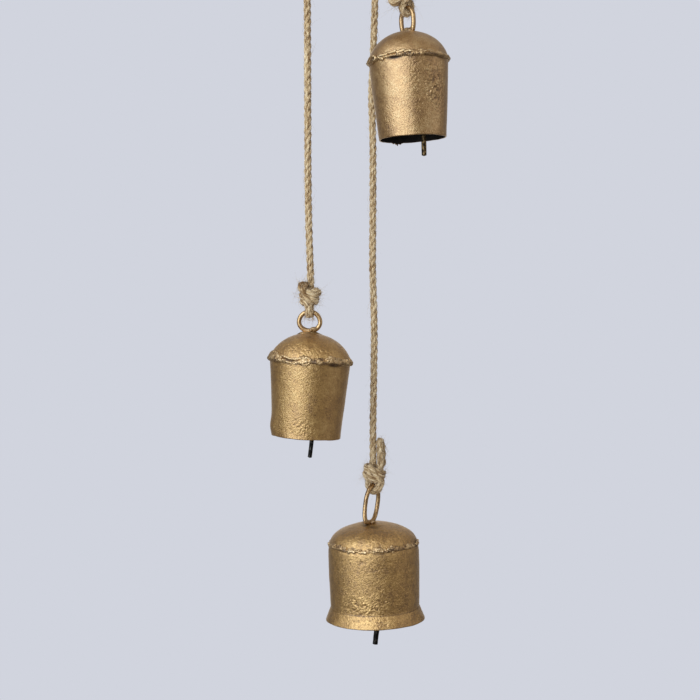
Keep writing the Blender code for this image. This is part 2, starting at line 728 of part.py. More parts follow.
def clapper_staple(name, bell, pivot):
    """The wire staple under the dome, front to back. Its lowest wire carries the clapper's eye."""
    wide, tall, _ = dome_ellipse(bell)
    reach = math.hypot(abs(bell["staple_x"]) + STAPLE_WIRE_RADIUS, STAPLE_HALF_WIDTH + STAPLE_WIRE_RADIUS)
    drop = tall - tall * math.sqrt(1 - (reach / wide) ** 2)
    top = bell["dome"][0] - drop - SHEET - STAPLE_TOP_CLEARANCE
    low = staple_low(bell)
    half = [(0.0, -STAPLE_HALF_WIDTH, top)]
    for across, up in arc(STAPLE_CORNER_RADIUS, 180.0, 270.0, CORNER_STEPS):
        half.append((0.0, across - STAPLE_HALF_WIDTH + STAPLE_CORNER_RADIUS, low + STAPLE_CORNER_RADIUS + up))
    staple = as_mesh(wire(f"{name}_clapper_staple", mirrored(half), STAPLE_WIRE_RADIUS))
    return put(as_part(staple, BLACK_IRON), pivot, body_place(bell) + Vector((bell["staple_x"], 0.0, 0.0)))


def clapper(name, bell, pivot):
    """An iron rod that hangs by its eye on the staple. Its origin is the staple's lowest wire."""
    place = body_place(bell) + Vector((bell["staple_x"], 0.0, staple_low(bell)))
    joint = empty(f"{name}_clapper_joint", place, (0.0, -bell["lean"], 0.0), pivot)
    bend = STAPLE_WIRE_RADIUS + GAP + CLAPPER_EYE_WIRE_RADIUS
    eye = [(across, 0.0, up) for across, up in arc(bend, 0.0, 360.0, EYE_POINTS)[:-1]]
    made = as_mesh(wire(f"{name}_clapper", eye, CLAPPER_EYE_WIRE_RADIUS, cyclic=True))
    path = [(x, 0.0, z) for x, z in bell["clapper_path"]]
    path[0] = (path[0][0], 0.0, -bend)
    path = smooth_path(path, CLAPPER_POINT_SPACING)
    shaft = as_mesh(wire(f"{name}_clapper_shaft", path, bell["clapper_radius"]))
    combine(made, put(shaft, joint), "UNION")
    return put(as_part(made, BLACK_IRON), joint)


def hanging_bell(name, bell):
    swing = empty(f"{name}_cord_joint", hook_seat(bell))
    cord_eye(name, swing)
    cord_length(name, bell, swing)
    cord_knot(name, bell, swing)
    turns_at = (bell["ring_offset"], 0.0, -bell["hang"] - pivot_drop(bell))
    pivot = empty(f"{name}_bell_joint", turns_at, (0.0, bell["lean"], 0.0), swing)
    bell_ring(name, bell, pivot)
    ring_braze(name, bell, pivot)
    bell_dome(name, bell, pivot)
    seam_bead(name, bell, pivot)
    bell_skirt(name, bell, pivot)
    clapper_staple(name, bell, pivot)
    clapper(name, bell, pivot)


ceiling_block()
for bell_name, sizes in BELLS.items():
    cup_hook(bell_name, sizes)
    hanging_bell(bell_name, sizes)
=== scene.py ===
"""Three hand-made cow bells on knotted jute cords, hanging from hooks in a turned oak ceiling block.

Sizes are in millimetres, and are multiplied by MM as a mesh is made. X is to the right, Y is away from
the viewer and Z is up. The origin is the middle of the block's top face, which lies on the ceiling.
Every surface is a grid of points: its rows follow a profile or a path, and its columns go once round.
"""

import json
import math

import bpy
import numpy as np
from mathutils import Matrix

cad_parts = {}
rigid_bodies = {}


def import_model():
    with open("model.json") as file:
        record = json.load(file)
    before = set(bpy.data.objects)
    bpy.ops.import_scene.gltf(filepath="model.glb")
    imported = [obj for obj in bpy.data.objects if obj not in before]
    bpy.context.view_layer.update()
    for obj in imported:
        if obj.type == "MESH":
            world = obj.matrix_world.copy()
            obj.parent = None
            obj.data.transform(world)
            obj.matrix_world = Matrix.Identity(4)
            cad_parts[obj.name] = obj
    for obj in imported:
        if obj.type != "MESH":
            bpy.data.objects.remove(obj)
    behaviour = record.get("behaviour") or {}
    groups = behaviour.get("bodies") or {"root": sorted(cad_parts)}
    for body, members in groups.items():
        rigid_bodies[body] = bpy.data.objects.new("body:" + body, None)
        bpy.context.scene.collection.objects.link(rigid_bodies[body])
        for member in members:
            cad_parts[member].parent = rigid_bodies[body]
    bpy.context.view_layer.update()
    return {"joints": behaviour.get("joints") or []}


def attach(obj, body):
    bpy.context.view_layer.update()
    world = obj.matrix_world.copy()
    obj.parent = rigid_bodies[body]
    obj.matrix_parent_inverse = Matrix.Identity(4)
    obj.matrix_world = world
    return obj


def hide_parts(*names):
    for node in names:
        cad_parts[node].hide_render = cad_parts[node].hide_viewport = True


for left_over in list(bpy.data.objects):
    bpy.data.objects.remove(left_over, do_unlink=True)
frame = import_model()

MM = 0.001

# Camera, at the photograph's angle
CAMERA_DISTANCE = 920.0
CAMERA_HEIGHT = -331.4
CAMERA_PITCH = -2.09
PIXEL = 0.7
PICTURE_WIDTH = 700
SENSOR = 36.0

# Jute cord, three strands laid right-handed: its radius, and each strand's distance from the middle and radius
CORD_RADIUS = 2.6
STRAND_PLACE = 1.0
STRAND_RADIUS = 1.6
LAY_LENGTH = 16.8
CORD_COLUMNS = 36
CORD_RING_STEP = 0.6
KNOT_RING_STEP = 0.45

# Stray fibres: how many (to a millimetre on a free cord, in all on a knot), how long, and how curled
CORD_FUZZ, CORD_FIBRES = (5.0, 1.2), (0.8, 3.4)
KNOT_FUZZ, KNOT_FIBRES, EYE_FIBRES = (2400, 1.5, 1.6), (380, 3.8, 1.9), (360, 3.0, 1.4)
TUFT_RINGS = 9
HAIR_RINGS = 6
HAIR_SIDES = 3

# Top of every cord's free stretch, below its hook's seat
CORD_TOP = -26.4

# Hooks
HOOK_SEAT = -42.0
HOOK_WIRE_RADIUS = 1.3
HOOK_BEND_RADIUS = 7.0
HOOK_TIP_ANGLE = 112.0
HOOK_NECK_ANGLE = 120.0
HOOK_NECK_HEIGHT = 23.0
HOOK_NECK_HANDLE = 5.5
HOOK_SHANK_TOP = 38.0
HOOK_COLLAR_TOP = 27.7
HOOK_COLLAR_RADIUS = 4.2
HOOK_COLLAR_THICKNESS = 1.2

# Ceiling block
BLOCK_RADIUS = 55.0
BLOCK_THICKNESS = 14.0
BLOCK_TOP_CHAMFER = 0.8
BLOCK_EDGE_RADIUS = 2.5
BLOCK_SHARP_ANGLE = 35.0
FIXING_HOLE_X = -10.0
FIXING_HOLE_SPACING = 76.0
FIXING_HOLE_RADIUS = 2.3
COUNTERSINK_RADIUS = 4.6
COUNTERSINK_DEPTH = 2.9
SHANK_HOLE_RADIUS = 1.65
SHANK_HOLE_TOP = -3.7

# Sheet, ring wire, staple and clapper
SHEET = 1.2
DOME_HUB = 0.05
DOME_SWELL_FROM = -8.0
RING_WIRE_RADIUS = 1.45
RING_CLEARANCE = 0.3
RING_SKIN = 0.12
WIRE_END_RADIUS = 1.25
STAPLE_WIRE_RADIUS = 1.1
STAPLE_HALF_WIDTH = 5.2
STAPLE_CORNER_RADIUS = 3.4
STAPLE_DEPTH = 9.5
STAPLE_TOP_CLEARANCE = 0.6
CLAPPER_EYE_WIRE_RADIUS = 1.5
# How uneven each clapper's rod is, and how many threads of braze are strewn round each bead
CLAPPER_KNOBS = {"upper": 0.08, "middle": 0.10, "lower": 0.26}
STRAY_THREADS = 46

# Grids
BODY_COLUMNS = 560
BODY_ROW_STEP = 0.42
INNER_ROW_STEP = 2.4
BEAD_COLUMNS = 900
BEAD_ROWS = 26
WIRE_COLUMNS = 20
WIRE_RING_STEP = 0.6
BLOCK_COLUMNS = 192
SMALL_COLUMNS = 48
FLOOR_ROWS, FLOOR_COLUMNS = 12, 96

# Studio: the backdrop's colour, what the room gives and what the metal mirrors of it, and the floor
BACKDROP, ROOM, MIRRORED, PAPER = "D1D4DE", "DCDAD8", "E6DBCD", "F2F4FA"
ROOM_LEVEL = 0.38
FLOOR_HEIGHT = -950.0
FLOOR_RADIUS = 1000.0
# Lamps: place and target in metres, width and height, watts, and tint
LAMPS = [
    ("key", (-0.82, -1.10, 0.12), (0.0, 0.0, -0.33), (2.05, 2.1), 31.0, (0.90, 1.0, 1.10)),
    ("fill", (1.4, -0.45, 0.0), (0.0, 0.0, -0.35), (0.6, 1.4), 2.2, (1.0, 0.99, 0.98)),
]

# One entry for each bell, with the sizes of its CAD solids. Angles are in degrees.
#   hook            the hook seat's x and y
#   cord            x and y from the hook's seat and the share of the free stretch, whose foot is cord_end
#   hang            how far the ring's top wire hangs below the seat, and ring_offset is its x from there
#   ring            half width, height above its widest place, height below it, then ring_turn and ring_tilt
#   ring_slides     whether the ring slides round in the bight, so that the bell swings about the ring's middle
#   lean            how far the hanging bell leans about Y
#   body_place      the body's axis from the ring's top wire, and dome is height, radius, sweep
#   taper           the skirt, as (how far inside the shoulder's radius, depth below the shoulder)
#   bead            how far the bead of braze stands out, and half its height
#   lap             how far the sheet's lap stands out, the height below which it shows, and lap_azimuth its angle
#   burr            the torn place on the far side of the mouth: x, half width, depth
#   staple_x        the staple's x from the axis, clapper_path the rod's x and z below it, with clapper_radius
#   bead_lumps      x from the axis, height from the shoulder, then half width and reach
#   worms           threads of braze on the front, as (x from the axis, height from the shoulder), and radius
#    hollows         painted shade in cracks and creases on the front: x, height, half width, half height, strength
#   pebbles         places where the skin is bumpy: x, height, half width, half height, depth
#   dents           broad hollows and swellings: x, height, half width, half height, depth
#   knot            the cord's path from the knot's top to its end, from the ring's top wire
#   knot_size       the cord's thickness along that path, as (share of the path, share of full thickness)
#   frayed          how far the knot's loose end is frayed and dark
#   squash          how thick the cord stays under the ring's wire, as a share
#   skin            how bumpy the skin is everywhere, and ridges is how much of that runs in ridges
#   braze           the lump at the ring's foot, as half sizes and its shift from the foot
#   wire_end        the ring wire's own end, laid down beside the foot: its path from the foot
#   ring_form       how square the ring's lower half is, where 2 is an ellipse, and its foot's x, y, z shift
#   dome_bulge      how far the dome stands out low down, beyond its ellipse
BELLS = {
    "upper": dict(
        hook=(35.2, -26),
        cord=[(0.2, 0, 0), (0.3, -0.1, 0.3381), (0.6, 0.1, 0.664), (1.4, 0, 1)],
        cord_end=-75.5, hang=91.2, ring_offset=3, ring=(7.55, 7.55, 6.4), ring_turn=-60, ring_tilt=0,
        ring_slides=False, lean=-3.3, body_place=(-0.8, 0), dome=(19.8, 26.9, 82),
        taper=[(0, 0), (1.1, 16), (2.7, 36), (4.1, 51.9)],
        bead=(1.3, 1.45), lap_azimuth=-28, lap=(0.22, -4), burr=(-10.5, 2.6, 0.9), staple_x=6.6, clapper_radius=1.7,
        clapper_path=[(0, 0), (1.9, -26), (3.8, -52), (4.4, -63), (4.7, -73.4)],
        bead_lumps=[(-25.5, -0.8, 2.6, 1), (-6.5, 1.2, 2.4, 0.8), (7.5, 0.9, 1.6, 0.6), (14.5, 0.4, 1.4, 0.5),
                    (21.5, -0.6, 2, 0.7)],
        worms=[([(-27.2, -0.4), (-26, 1.6), (-23.8, 1.9), (-22.4, 0.4), (-23.6, -1.4)], 0.9), ([(-21.6, 0.2),
            (-18, 0.9), (-14.4, 1)], 1.2), ([(-15, 1.6), (-11, 1.8), (-8.4, 2.6)], 1.1), ([(-9.5, 0.9), (-6.4, 1.6),
            (-3, 2.6)], 1.2), ([(-4, 0.9), (-1, 1.7), (2.2, 1.3)], 1), ([(9.5, 1.2), (12.5, 1.7), (15.5, 1)], 0.6)],
        hollows=[(-10.4, -1.5, 2.5, 0.6, 1), (-24.2, -0.2, 1.5, 1, 0.9), (14, -0.4, 4, 0.8, 0.6),
            (20.5, -1.4, 2, 0.8, 0.7), (-1.8, 20.2, 2, 0.8, 0.9), (8.5, 19.6, 1.4, 0.7, 0.9)],
        pebbles=[(15.5, -17, 4.2, 8.5, 0.54), (3.5, -9, 4, 8, 0.24), (16, -34, 4, 9, 0.22), (11.5, -25, 3, 4, 0.44),
            (4, -28, 3, 9, 0.1), (-10, -44, 12, 5, 0.06)],
        dents=[(9, -20, 4.5, 26, -0.55), (-8, -26, 8, 24, 0.25), (19, -30, 4, 18, 0.3)],
        knot=[(-1.6, 0, 17.5), (-1, 0.8, 12), (0.6, 1.6, 7.5), (1.9, 1.4, 4.2), (3, 1.7, 0.8), (2.5, 1.4, -2.4),
            (0, 0, -3.9), (-2.5, -1.4, -2.4), (-3, -1.7, 0.8), (-1.8, -2.3, 4.2), (0.4, -3.6, 6.6), (3.4, -3.2, 8.4),
            (4.8, 0.4, 9.4), (2, 4.2, 9.6), (-2.6, 4, 9), (-5.2, 0.4, 7), (-5.4, -3.2, 4.8), (-8.2, -4, 2.8),
            (-10, -2.4, 5.4), (-7.8, -2.6, 9.4), (-3, -3.6, 11.4), (1.6, -3.8, 12.4), (4.4, -1, 13.4),
            (3.6, 3, 14.4)],
        knot_size=[(0, 1), (0.15, 0.95), (0.3, 0.95), (0.42, 1.15), (1, 1.15)],
        frayed=0.1, squash=1, skin=0.016, ridges=0.1, braze=((6.8, 3, 3.2), (0, 0, -1)),
        wire_end=[(-2.6, 0.6, 0.4), (-0.4, 0.2, 1.5), (1.6, -0.6, 0.6)],
        ring_form=(3.6, (0, 0, -2.8)), dome_bulge=0,
    ),
    "middle": dict(
        hook=(-29.6, 0),
        cord=[(0, 0, 0), (-0.1, 0.3, 0.1254), (0.1, 0, 0.3239), (0.2, -0.3, 0.5223), (0.3, 0, 0.7049),
            (0.9, 0.2, 0.8398), (1.8, 0, 0.9391), (2.1, 0, 1)],
        cord_end=-278.35, hang=296.15, ring_offset=1.3, ring=(7.4, 7.4, 5.65), ring_turn=0, ring_tilt=0,
        ring_slides=True, lean=3.2, body_place=(2, 0), dome=(18.9, 28.5, 78),
        taper=[(0.1, 0), (1.6, 16), (3.1, 34), (4.3, 49), (4.55, 53.5)],
        bead=(1.3, 1.7), lap_azimuth=28, lap=(0.22, -4), burr=(8, 3, 0.4), staple_x=1.4, clapper_radius=1.5,
        clapper_path=[(0, 0), (0.2, -30), (-0.3, -56), (-1, -65), (-2.4, -77)],
        bead_lumps=[(-27.5, 1, 2.4, 0.9), (-25, 1.4, 1.8, 0.7), (-3.6, -0.2, 3, 1.2), (6.5, -0.4, 1.6, 0.5),
                    (15, 0.6, 2.2, 0.7), (20.5, -1, 2, 0.7), (28, 0, 1.6, 0.6)],
        worms=[([(-19.8, 1), (-18.6, 2.7), (-15.6, 1.9), (-12, 1.2), (-8, 1.4), (-4.6, 2.2)], 0.75), ([(-18.6, 0.6),
            (-15.4, -0.9), (-11.4, -1.7), (-8.2, -1.3), (-6.4, -0.4)], 0.7), ([(-3.5, 1.8), (-1.6, 2.6), (0.4, 1.7),
            (0.4, -0.6), (-2.4, -2.4), (-5.2, -2)], 0.8), ([(12, 0.8), (15, 1.8), (18.4, 1), (20.6, -0.4)], 0.6)],
        hollows=[(-13.6, 0.1, 3.6, 0.6, 0.6), (3.2, 0.2, 1.4, 0.9, 0.7), (11.5, -0.2, 1.6, 0.7, 0.6),
            (17.4, -1.6, 2.6, 1, 0.9), (23.6, -0.4, 1.6, 0.7, 0.7), (-22, -2.2, 2.4, 0.6, 0.5)],
        pebbles=[(-14, 9, 9, 5, 0.16), (2, 6, 9, 4, 0.16), (-1, -46.5, 5.5, 3.6, 0.25), (-12, -42, 8, 5, 0.05),
            (-2, -10, 8, 7, 0.06), (15, 8, 8, 5, 0.1)],
        dents=[(-3, -26, 8, 22, 0.3), (9, -26, 7, 24, -0.2), (-20, -28, 6, 20, -0.25), (-25, -47.5, 2.6, 4.6, 2.4)],
        knot=[(0.8, 0.6, 20.5), (0.7, 1.2, 14), (0.4, 1.8, 8), (0.2, 2.6, 3.4), (0.1, 3.2, -0.2), (0, 2, -3.2),
            (0, 0, -4), (0, -2, -3.2), (-0.1, -3.3, -0.2), (-0.4, -2.9, 3.4), (-1.8, -3, 6), (-3.6, -0.8, 7.4),
            (-2, 3.4, 8.2), (2.2, 3.4, 8.6), (3.8, -0.6, 8.4), (2, -4.2, 8.2), (-1.2, -4.6, 9.6), (-3.9, -1.6, 11.2),
            (-2, 3.8, 12.2), (2.6, 4, 13), (5, 0.6, 13.4), (4, -3.3, 12.8), (0.8, -4.6, 12.4), (-2.4, -4, 13.4),
            (-3.9, -3.2, 16), (-4.4, -2.2, 20.4)],
        knot_size=[(0, 1), (0.1, 1), (0.16, 1.12), (0.26, 1.12), (0.34, 1.2), (0.5, 1.28), (0.85, 1.3), (0.93, 1.4),
            (1, 1.6)],
        frayed=6.5, squash=0.6, skin=0.024, ridges=0.5, braze=((9.6, 4.6, 4.4), (0.6, 0, -3.1)),
        wire_end=[(0.8, -1.6, 1), (2, -2.2, 2.7), (3.8, -2.5, 3.2), (5.4, -1.9, 2.4)],
        ring_form=(2, (0, 0, -0.4)), dome_bulge=0,
    ),
    "lower": dict(
        hook=(18.6, 30),
        cord=[(-0.1, 0, 0), (-0.4, 0, 0.0699), (-0.8, 0, 0.1355), (-2, 0.2, 0.2275), (-3.1, 0.3, 0.301),
            (-2.6, 0, 0.3457), (-2.1, -0.2, 0.4035), (-2.1, 0, 0.5164), (-2.3, 0, 0.611), (-1.6, 0.1, 0.6872),
            (-1.1, 0, 0.7449), (-1.4, -0.1, 0.8316), (-1.9, 0, 0.9236), (-1.9, 0, 1)],
        cord_end=-407.1, hang=421.7, ring_offset=-1.2, ring=(8.2, 12.6, 13.24), ring_turn=56, ring_tilt=8.5,
        ring_slides=False, lean=-1.4, body_place=(-1.4, 1.5), dome=(16, 32.1, 80),
        taper=[(0, 0), (-0.3, 1.4), (-0.65, 3.4), (-0.8, 6), (-0.8, 18), (-0.5, 34), (-0.1, 45.3), (-1.9, 49.7),
            (-3.9, 54.6)],
        bead=(1, 1.25), lap_azimuth=-85, lap=(0.09, -26), burr=(-6, 3, 0.4), staple_x=2.6, clapper_radius=1.9,
        clapper_path=[(0, 0), (0.5, -32), (0.3, -58), (-0.1, -69.5), (-1.3, -79.8)],
        bead_lumps=[(-24, 0.4, 2, 0.7), (3.5, 0.6, 2.2, 0.7), (12.5, 1, 1.6, 0.6), (24, 0.6, 2, 0.5),
                    (-29, 0.8, 1.6, 0.5)],
        worms=[([(-19, -0.8), (-16, -0.2), (-13, -0.6)], 1.15), ([(-11.6, -0.9), (-7.6, -0.6), (-4.8, -1.2)], 1.2),
            ([(-26, 0.2), (-22.6, 0.8)], 0.9), ([(-2, -0.6), (1, -0.2), (2.4, 1.4), (4.6, 1.8)], 0.65), ([(9, 0.8),
            (11.2, 1.8), (13.4, 1.2)], 0.6)],
        hollows=[(-5.4, 15.2, 2, 0.6, 0.7), (0.5, 14.2, 3, 0.6, 0.5), (0, -45.9, 40, 0.3, 0.4),
            (12.6, 1.2, 1.3, 0.7, 0.9), (-22.5, 0, 1.6, 0.6, 0.6), (19, 0.4, 2, 0.6, 0.5),
            (30.4, 1.6, 0.6, 1.6, 0.8)],
        pebbles=[(-15, -37.5, 7, 5, 0.24), (-4, -41, 5, 3.6, 0.23), (-2, 7, 14, 5, 0.14), (0, -50.5, 24, 2.6, 0.17),
            (22, 6, 7, 6, 0.1), (-2, -8, 12, 6, 0.08), (9, -37, 8, 5, 0.12), (20, -22, 10, 14, 0.08)],
        dents=[(10, -20, 8, 18, -0.35), (-14, -18, 8, 14, 0.2), (24, -26, 6, 14, 0.25), (7, -50, 1, 4.5, -0.2),
            (9.4, -51, 0.9, 4.5, 0.16), (-22, -51, 2, 3, -0.3)],
        knot=[(-0.8, 0.2, 17), (-1.4, 1.4, 12.6), (-3, 2.4, 8.4), (-3.8, 2.4, 4.4), (-3.7, 2.1, 0.6),
            (-2.6, 1.5, -2.6), (0, 0, -4.2), (2.6, -1.5, -2.8), (4.2, -2.6, 0.4), (3.9, -3.8, 3.2), (1.2, -4.8, 4.7),
            (-2.6, -4.5, 5.9), (-4.9, -0.8, 7.4), (-2.4, 3.8, 8.8), (2.4, 4, 9), (5.2, 0.6, 8.2), (4.6, -3.8, 7.4),
            (1, -5, 9.4), (-3, -4.2, 11.6), (-4.6, 0.4, 12.2), (-0.6, 3.8, 12), (4, 3.8, 12), (5.8, 3.4, 15),
            (6.1, 3.5, 20), (5.9, 3.3, 26), (5, 2.3, 30), (4.4, 0, 31.8), (4.1, -2.4, 30), (4.2, -3.4, 26),
            (4.4, -3.5, 20), (4.4, -3.4, 14), (3.6, -2.6, 10), (0, -2, 8)],
        knot_size=[(0, 1), (0.08, 1.15), (0.2, 1.3), (0.32, 1.35), (0.6, 1.28), (0.7, 1), (1, 1)],
        frayed=0.1, squash=1, skin=0.042, ridges=0.7, braze=((3.6, 3.4, 2.4), (2, -2.4, -1.2)),
        wire_end=[(0.6, -5, 0.4), (2.6, -5.6, 0.9), (4.4, -5, 1.3)],
        ring_form=(2.9, (-0.4, -4.8, -1.4)), dome_bulge=0.8,
    ),
}


def linear(code):
    """An sRGB hex value as linear RGBA."""
    values = [int(code[n:n + 2], 16) / 255 for n in (0, 2, 4)]
    return (*[v / 12.92 if v <= 0.04045 else ((v + 0.055) / 1.055) ** 2.4 for v in values], 1.0)


def lattice(x, y, z, seed):
    """A fixed value from -1 to 1 for each whole-numbered place, mixed from the place's bits."""
    mixed = (x * 374761393 + y * 668265263 + z * 1440662683 + seed * 1274126177) & 0xFFFFFFFF
    mixed = ((mixed ^ (mixed >> 13)) * 1103515245) & 0xFFFFFFFF
    mixed = ((mixed ^ (mixed >> 15)) * 668265263) & 0xFFFFFFFF
    return (mixed ^ (mixed >> 16)) / 0x7FFFFFFF - 1.0


def noise(points, size, seed=0, octaves=1):
    """Value noise: lattice values a size apart, blended by 3t² − 2t³ along each axis, then finer ones added."""
    total, weight, norm = 0.0, 1.0, 0.0
    for octave in range(octaves):
        place = np.asarray(points) * (2**octave / size)
        cell = np.floor(place).astype(np.int64)
        t = place - cell
        t = t * t * (3.0 - 2.0 * t)
        x, y, z = np.moveaxis(cell, -1, 0)
        value = 0.0
        for dx, dy, dz in np.ndindex(2, 2, 2):
            share = np.abs(1 - dx - t[..., 0]) * np.abs(1 - dy - t[..., 1]) * np.abs(1 - dz - t[..., 2])
            value = value + share * lattice(x + dx, y + dy, z + dz, seed + 101 * octave)
        total = total + weight * value
        norm += weight
        weight *= 0.55
    return total / norm


def bump_at(x, z, place):
    """A soft bump of height 1 at a place: e to the minus half of the squared distance in half sizes."""
    return np.exp(-0.5 * (((x - place[0]) / place[2]) ** 2 + ((z - place[1]) / place[3]) ** 2))


def catmull(points, readings=24):
    """A dense smooth curve through points. Between b and c, with neighbours a and d, it is half of
    2b + (c − a)t + (2a − 5b + 4c − d)t² + (3b − a − 3c + d)t³."""
    p = np.asarray(points, dtype=float)
    p = np.vstack((2 * p[0] - p[1], p, 2 * p[-1] - p[-2]))
    a, b, c, d = (p[n:len(p) - 3 + n, None, :] for n in range(4))
    t = (np.arange(readings) / readings)[None, :, None]
    curve = 0.5 * (2 * b + (c - a) * t + (2 * a - 5 * b + 4 * c - d) * t**2 + (3 * b - a - 3 * c + d) * t**3)
    return np.vstack((curve.reshape(-1, p.shape[1]), p[-2:-1]))


def evened(curve, step):
    """Points an even step apart along a polyline, and how far along it each one is."""
    lengths = np.concatenate(([0.0], np.cumsum(np.linalg.norm(np.diff(curve, axis=0), axis=1))))
    count = max(2, round(lengths[-1] / step)) + 1
    along = np.linspace(0.0, lengths[-1], count)
    return np.stack([np.interp(along, lengths, axis) for axis in curve.T], axis=1), along


def carried(centres, loop=False):
    """Two directions square to a path at each point, the first carried along with the least turning."""
    if loop:
        along = np.roll(centres, -1, axis=0) - np.roll(centres, 1, axis=0)
    else:
        along = np.gradient(centres, axis=0)
    along /= np.linalg.norm(along, axis=1)[:, None]
    first = np.empty_like(along)
    side = np.array((0.0, 1.0, 0.0))
    for n, heading in enumerate(along):
        side = side - heading * (side @ heading)
        side /= np.linalg.norm(side)
        first[n] = side
    return first, np.cross(along, first), along


def full_turn(columns, start=0.0):
    """Even angles once round, in radians, the first one a share of a step on from nought."""
    return 2 * math.pi * (np.arange(columns) + start) / columns


def outwards(around):
    """The directions square to Z at the given angles."""
    return np.stack((np.cos(around), np.sin(around), 0 * around), axis=-1)


def about_y(points, degrees):
    """Points turned about the Y axis."""
    c, s = math.cos(math.radians(degrees)), math.sin(math.radians(degrees))
    x, y, z = np.moveaxis(np.asarray(points, dtype=float), -1, 0)
    return np.stack((x * c + z * s, y, z * c - x * s), axis=-1)


def about_z(points, degrees):
    """Points turned about the Z axis."""
    c, s = math.cos(math.radians(degrees)), math.sin(math.radians(degrees))
    x, y, z = np.moveaxis(np.asarray(points, dtype=float), -1, 0)
    return np.stack((x * c - y * s, x * s + y * c, z), axis=-1)


def turned_rings(profile, around):
    """A profile of (radius, height) turned about Z: row by profile point, column by angle."""
    r, z = profile[:, 0][:, None], profile[:, 1][:, None]
    return np.stack((r * np.cos(around), r * np.sin(around), z + 0 * around), axis=-1)


def grid_faces(rows, columns, loop=False):
    """The faces of a grid of points, as the points' numbers. Each joins two neighbouring rows and columns. The
    last column is joined to the first, and with loop the last row is too."""
    this = np.arange(rows * columns).reshape(rows, columns)
    if loop:
        this = np.vstack((this, this[:1]))
    side = np.roll(this, -1, axis=1)
    return np.stack((this[:-1], side[:-1], side[1:], this[1:]), axis=-1).reshape(-1, 4)


def surface(rings, loop=False, inward=False, bands=0, uv=None, grime=None):
    """A grid of points in millimetres as one part of a piece: its corners, its groups of faces with their
    UV and material, and how far each corner is darkened by dirt and painted shade or lightened by a painted highlight.

    Open ends are closed by a fan from the middle of the end row, and loop joins the last row to the first
    instead. inward is for rows that run down the outside of a turned shape. bands gives each row of faces its
    material, and uv is (around, along) at each point, with one column more for the seam.
    """
    rows, columns = rings.shape[:2]
    quads = grid_faces(rows, columns, loop)
    if uv is None:
        uv = np.zeros((rows, columns + 1, 2))
    if loop:
        uv = np.concatenate((uv, uv[-1:] + (uv[-1:] - uv[-2:-1])), axis=0)
    quad_uv = np.stack((uv[:-1, :-1], uv[:-1, 1:], uv[1:, 1:], uv[1:, :-1]), axis=2).reshape(-1, 4, 2)
    band = np.repeat(np.broadcast_to(bands, len(quads) // columns), columns)
    order = -1 if inward else 1
    corners = [rings.reshape(-1, 3)]
    groups = [(quads[:, ::order], quad_uv[:, ::order], band)]
    dirt_and_shade = None if grime is None else np.broadcast_to(grime, (rows, columns)).ravel()
    for end in () if loop else (0, -1):
        edge = np.arange(rows * columns).reshape(rows, columns)[end]
        fan = np.stack((np.full(columns, sum(map(len, corners))), edge, np.roll(edge, -1)), axis=-1)
        corners.append(rings[end].mean(axis=0)[None])
        order = -1 if (end == 0) != inward else 1
        fan_uv = np.repeat(uv[end, :columns, None], 3, axis=1)
        groups.append((fan[:, ::order], fan_uv, np.full(columns, band[end])))
        if dirt_and_shade is not None:
            dirt_and_shade = np.append(dirt_and_shade, dirt_and_shade[0])
    return np.concatenate(corners), groups, dirt_and_shade


def piece(name, looks, body, slot, *parts):
    """Makes one mesh from parts, each with its corners, groups of faces and dirt, painted shade and painted
    highlights, for its body.
    """
    base, faces, uvs, materials = 0, [], [], []
    for corners, groups, _ in parts:
        for group, uv, band in groups:
            faces.append(group + base)
            uvs.append(uv.reshape(-1, 2))
            materials.append(band)
        base += len(corners)
    corners = np.concatenate([part[0] for part in parts])
    sizes = np.concatenate([np.full(len(group), group.shape[1]) for group in faces])
    mesh = bpy.data.meshes.new(name)
    mesh.vertices.add(len(corners))
    mesh.vertices.foreach_set("co", (corners * MM).astype(np.float32).ravel())
    mesh.loops.add(int(sizes.sum()))
    mesh.loops.foreach_set("vertex_index", np.concatenate([group.ravel() for group in faces]).astype(np.int32))
    mesh.polygons.add(len(sizes))
    mesh.polygons.foreach_set("loop_start", (np.cumsum(sizes) - sizes).astype(np.int32))
    mesh.polygons.foreach_set("material_index", np.concatenate(materials).astype(np.int32))
    mesh.polygons.foreach_set("use_smooth", np.ones(len(sizes), dtype=bool))
    layer = mesh.uv_layers.new(name="lengths")
    layer.data.foreach_set("uv", (np.concatenate(uvs) * MM).astype(np.float32).ravel())
    # Each corner's dirt and painted shade, and below nought its painted highlight
    if parts[0][2] is not None:
        dirt_and_shade = np.concatenate([part[2] for part in parts]).astype(np.float32)
        mesh.attributes.new("grime", "FLOAT", "POINT").data.foreach_set("value", dirt_and_shade)
    mesh.update(calc_edges=True)
    mesh.validate()
    for look in looks:
        mesh.materials.append(look)
    made = bpy.data.objects.new(name, mesh)
    bpy.context.scene.collection.objects.link(made)
    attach(made, body)
    return made


def add(tree, kind, inputs=None, stops=None, **settings):
    """Adds a node, whose kind is its type without ShaderNode. Inputs are values, sockets, or nodes that give
    their first output; stops are a colour ramp's."""
    made = tree.nodes.new(f"ShaderNode{kind}")
    for name, value in settings.items():
        setattr(made, name, value)
    for name, value in (inputs or {}).items():
        if isinstance(value, bpy.types.Node):
            value = next(socket for socket in value.outputs if socket.enabled)
        if isinstance(value, bpy.types.NodeSocket):
            tree.links.new(value, made.inputs[name])
        else:
            made.inputs[name].default_value = value
    if stops:
        ramp = made.color_ramp
        while len(ramp.elements) < len(stops):
            ramp.elements.new(1.0)
        for element, (position, colour) in zip(ramp.elements, stops):
            element.position, element.color = position, linear(colour)
    return made


def new_material(name):
    """An empty material, its node tree and the piece's own coordinates."""
    made = bpy.data.materials.new(name)
    made.use_nodes = True
    made.node_tree.nodes.clear()
    return made, made.node_tree, add(made.node_tree, "TexCoord").outputs["Object"]


def per_mm(size):
    """The scale of a noise whose features are a size in millimetres."""
    return 1.0 / (size * MM)


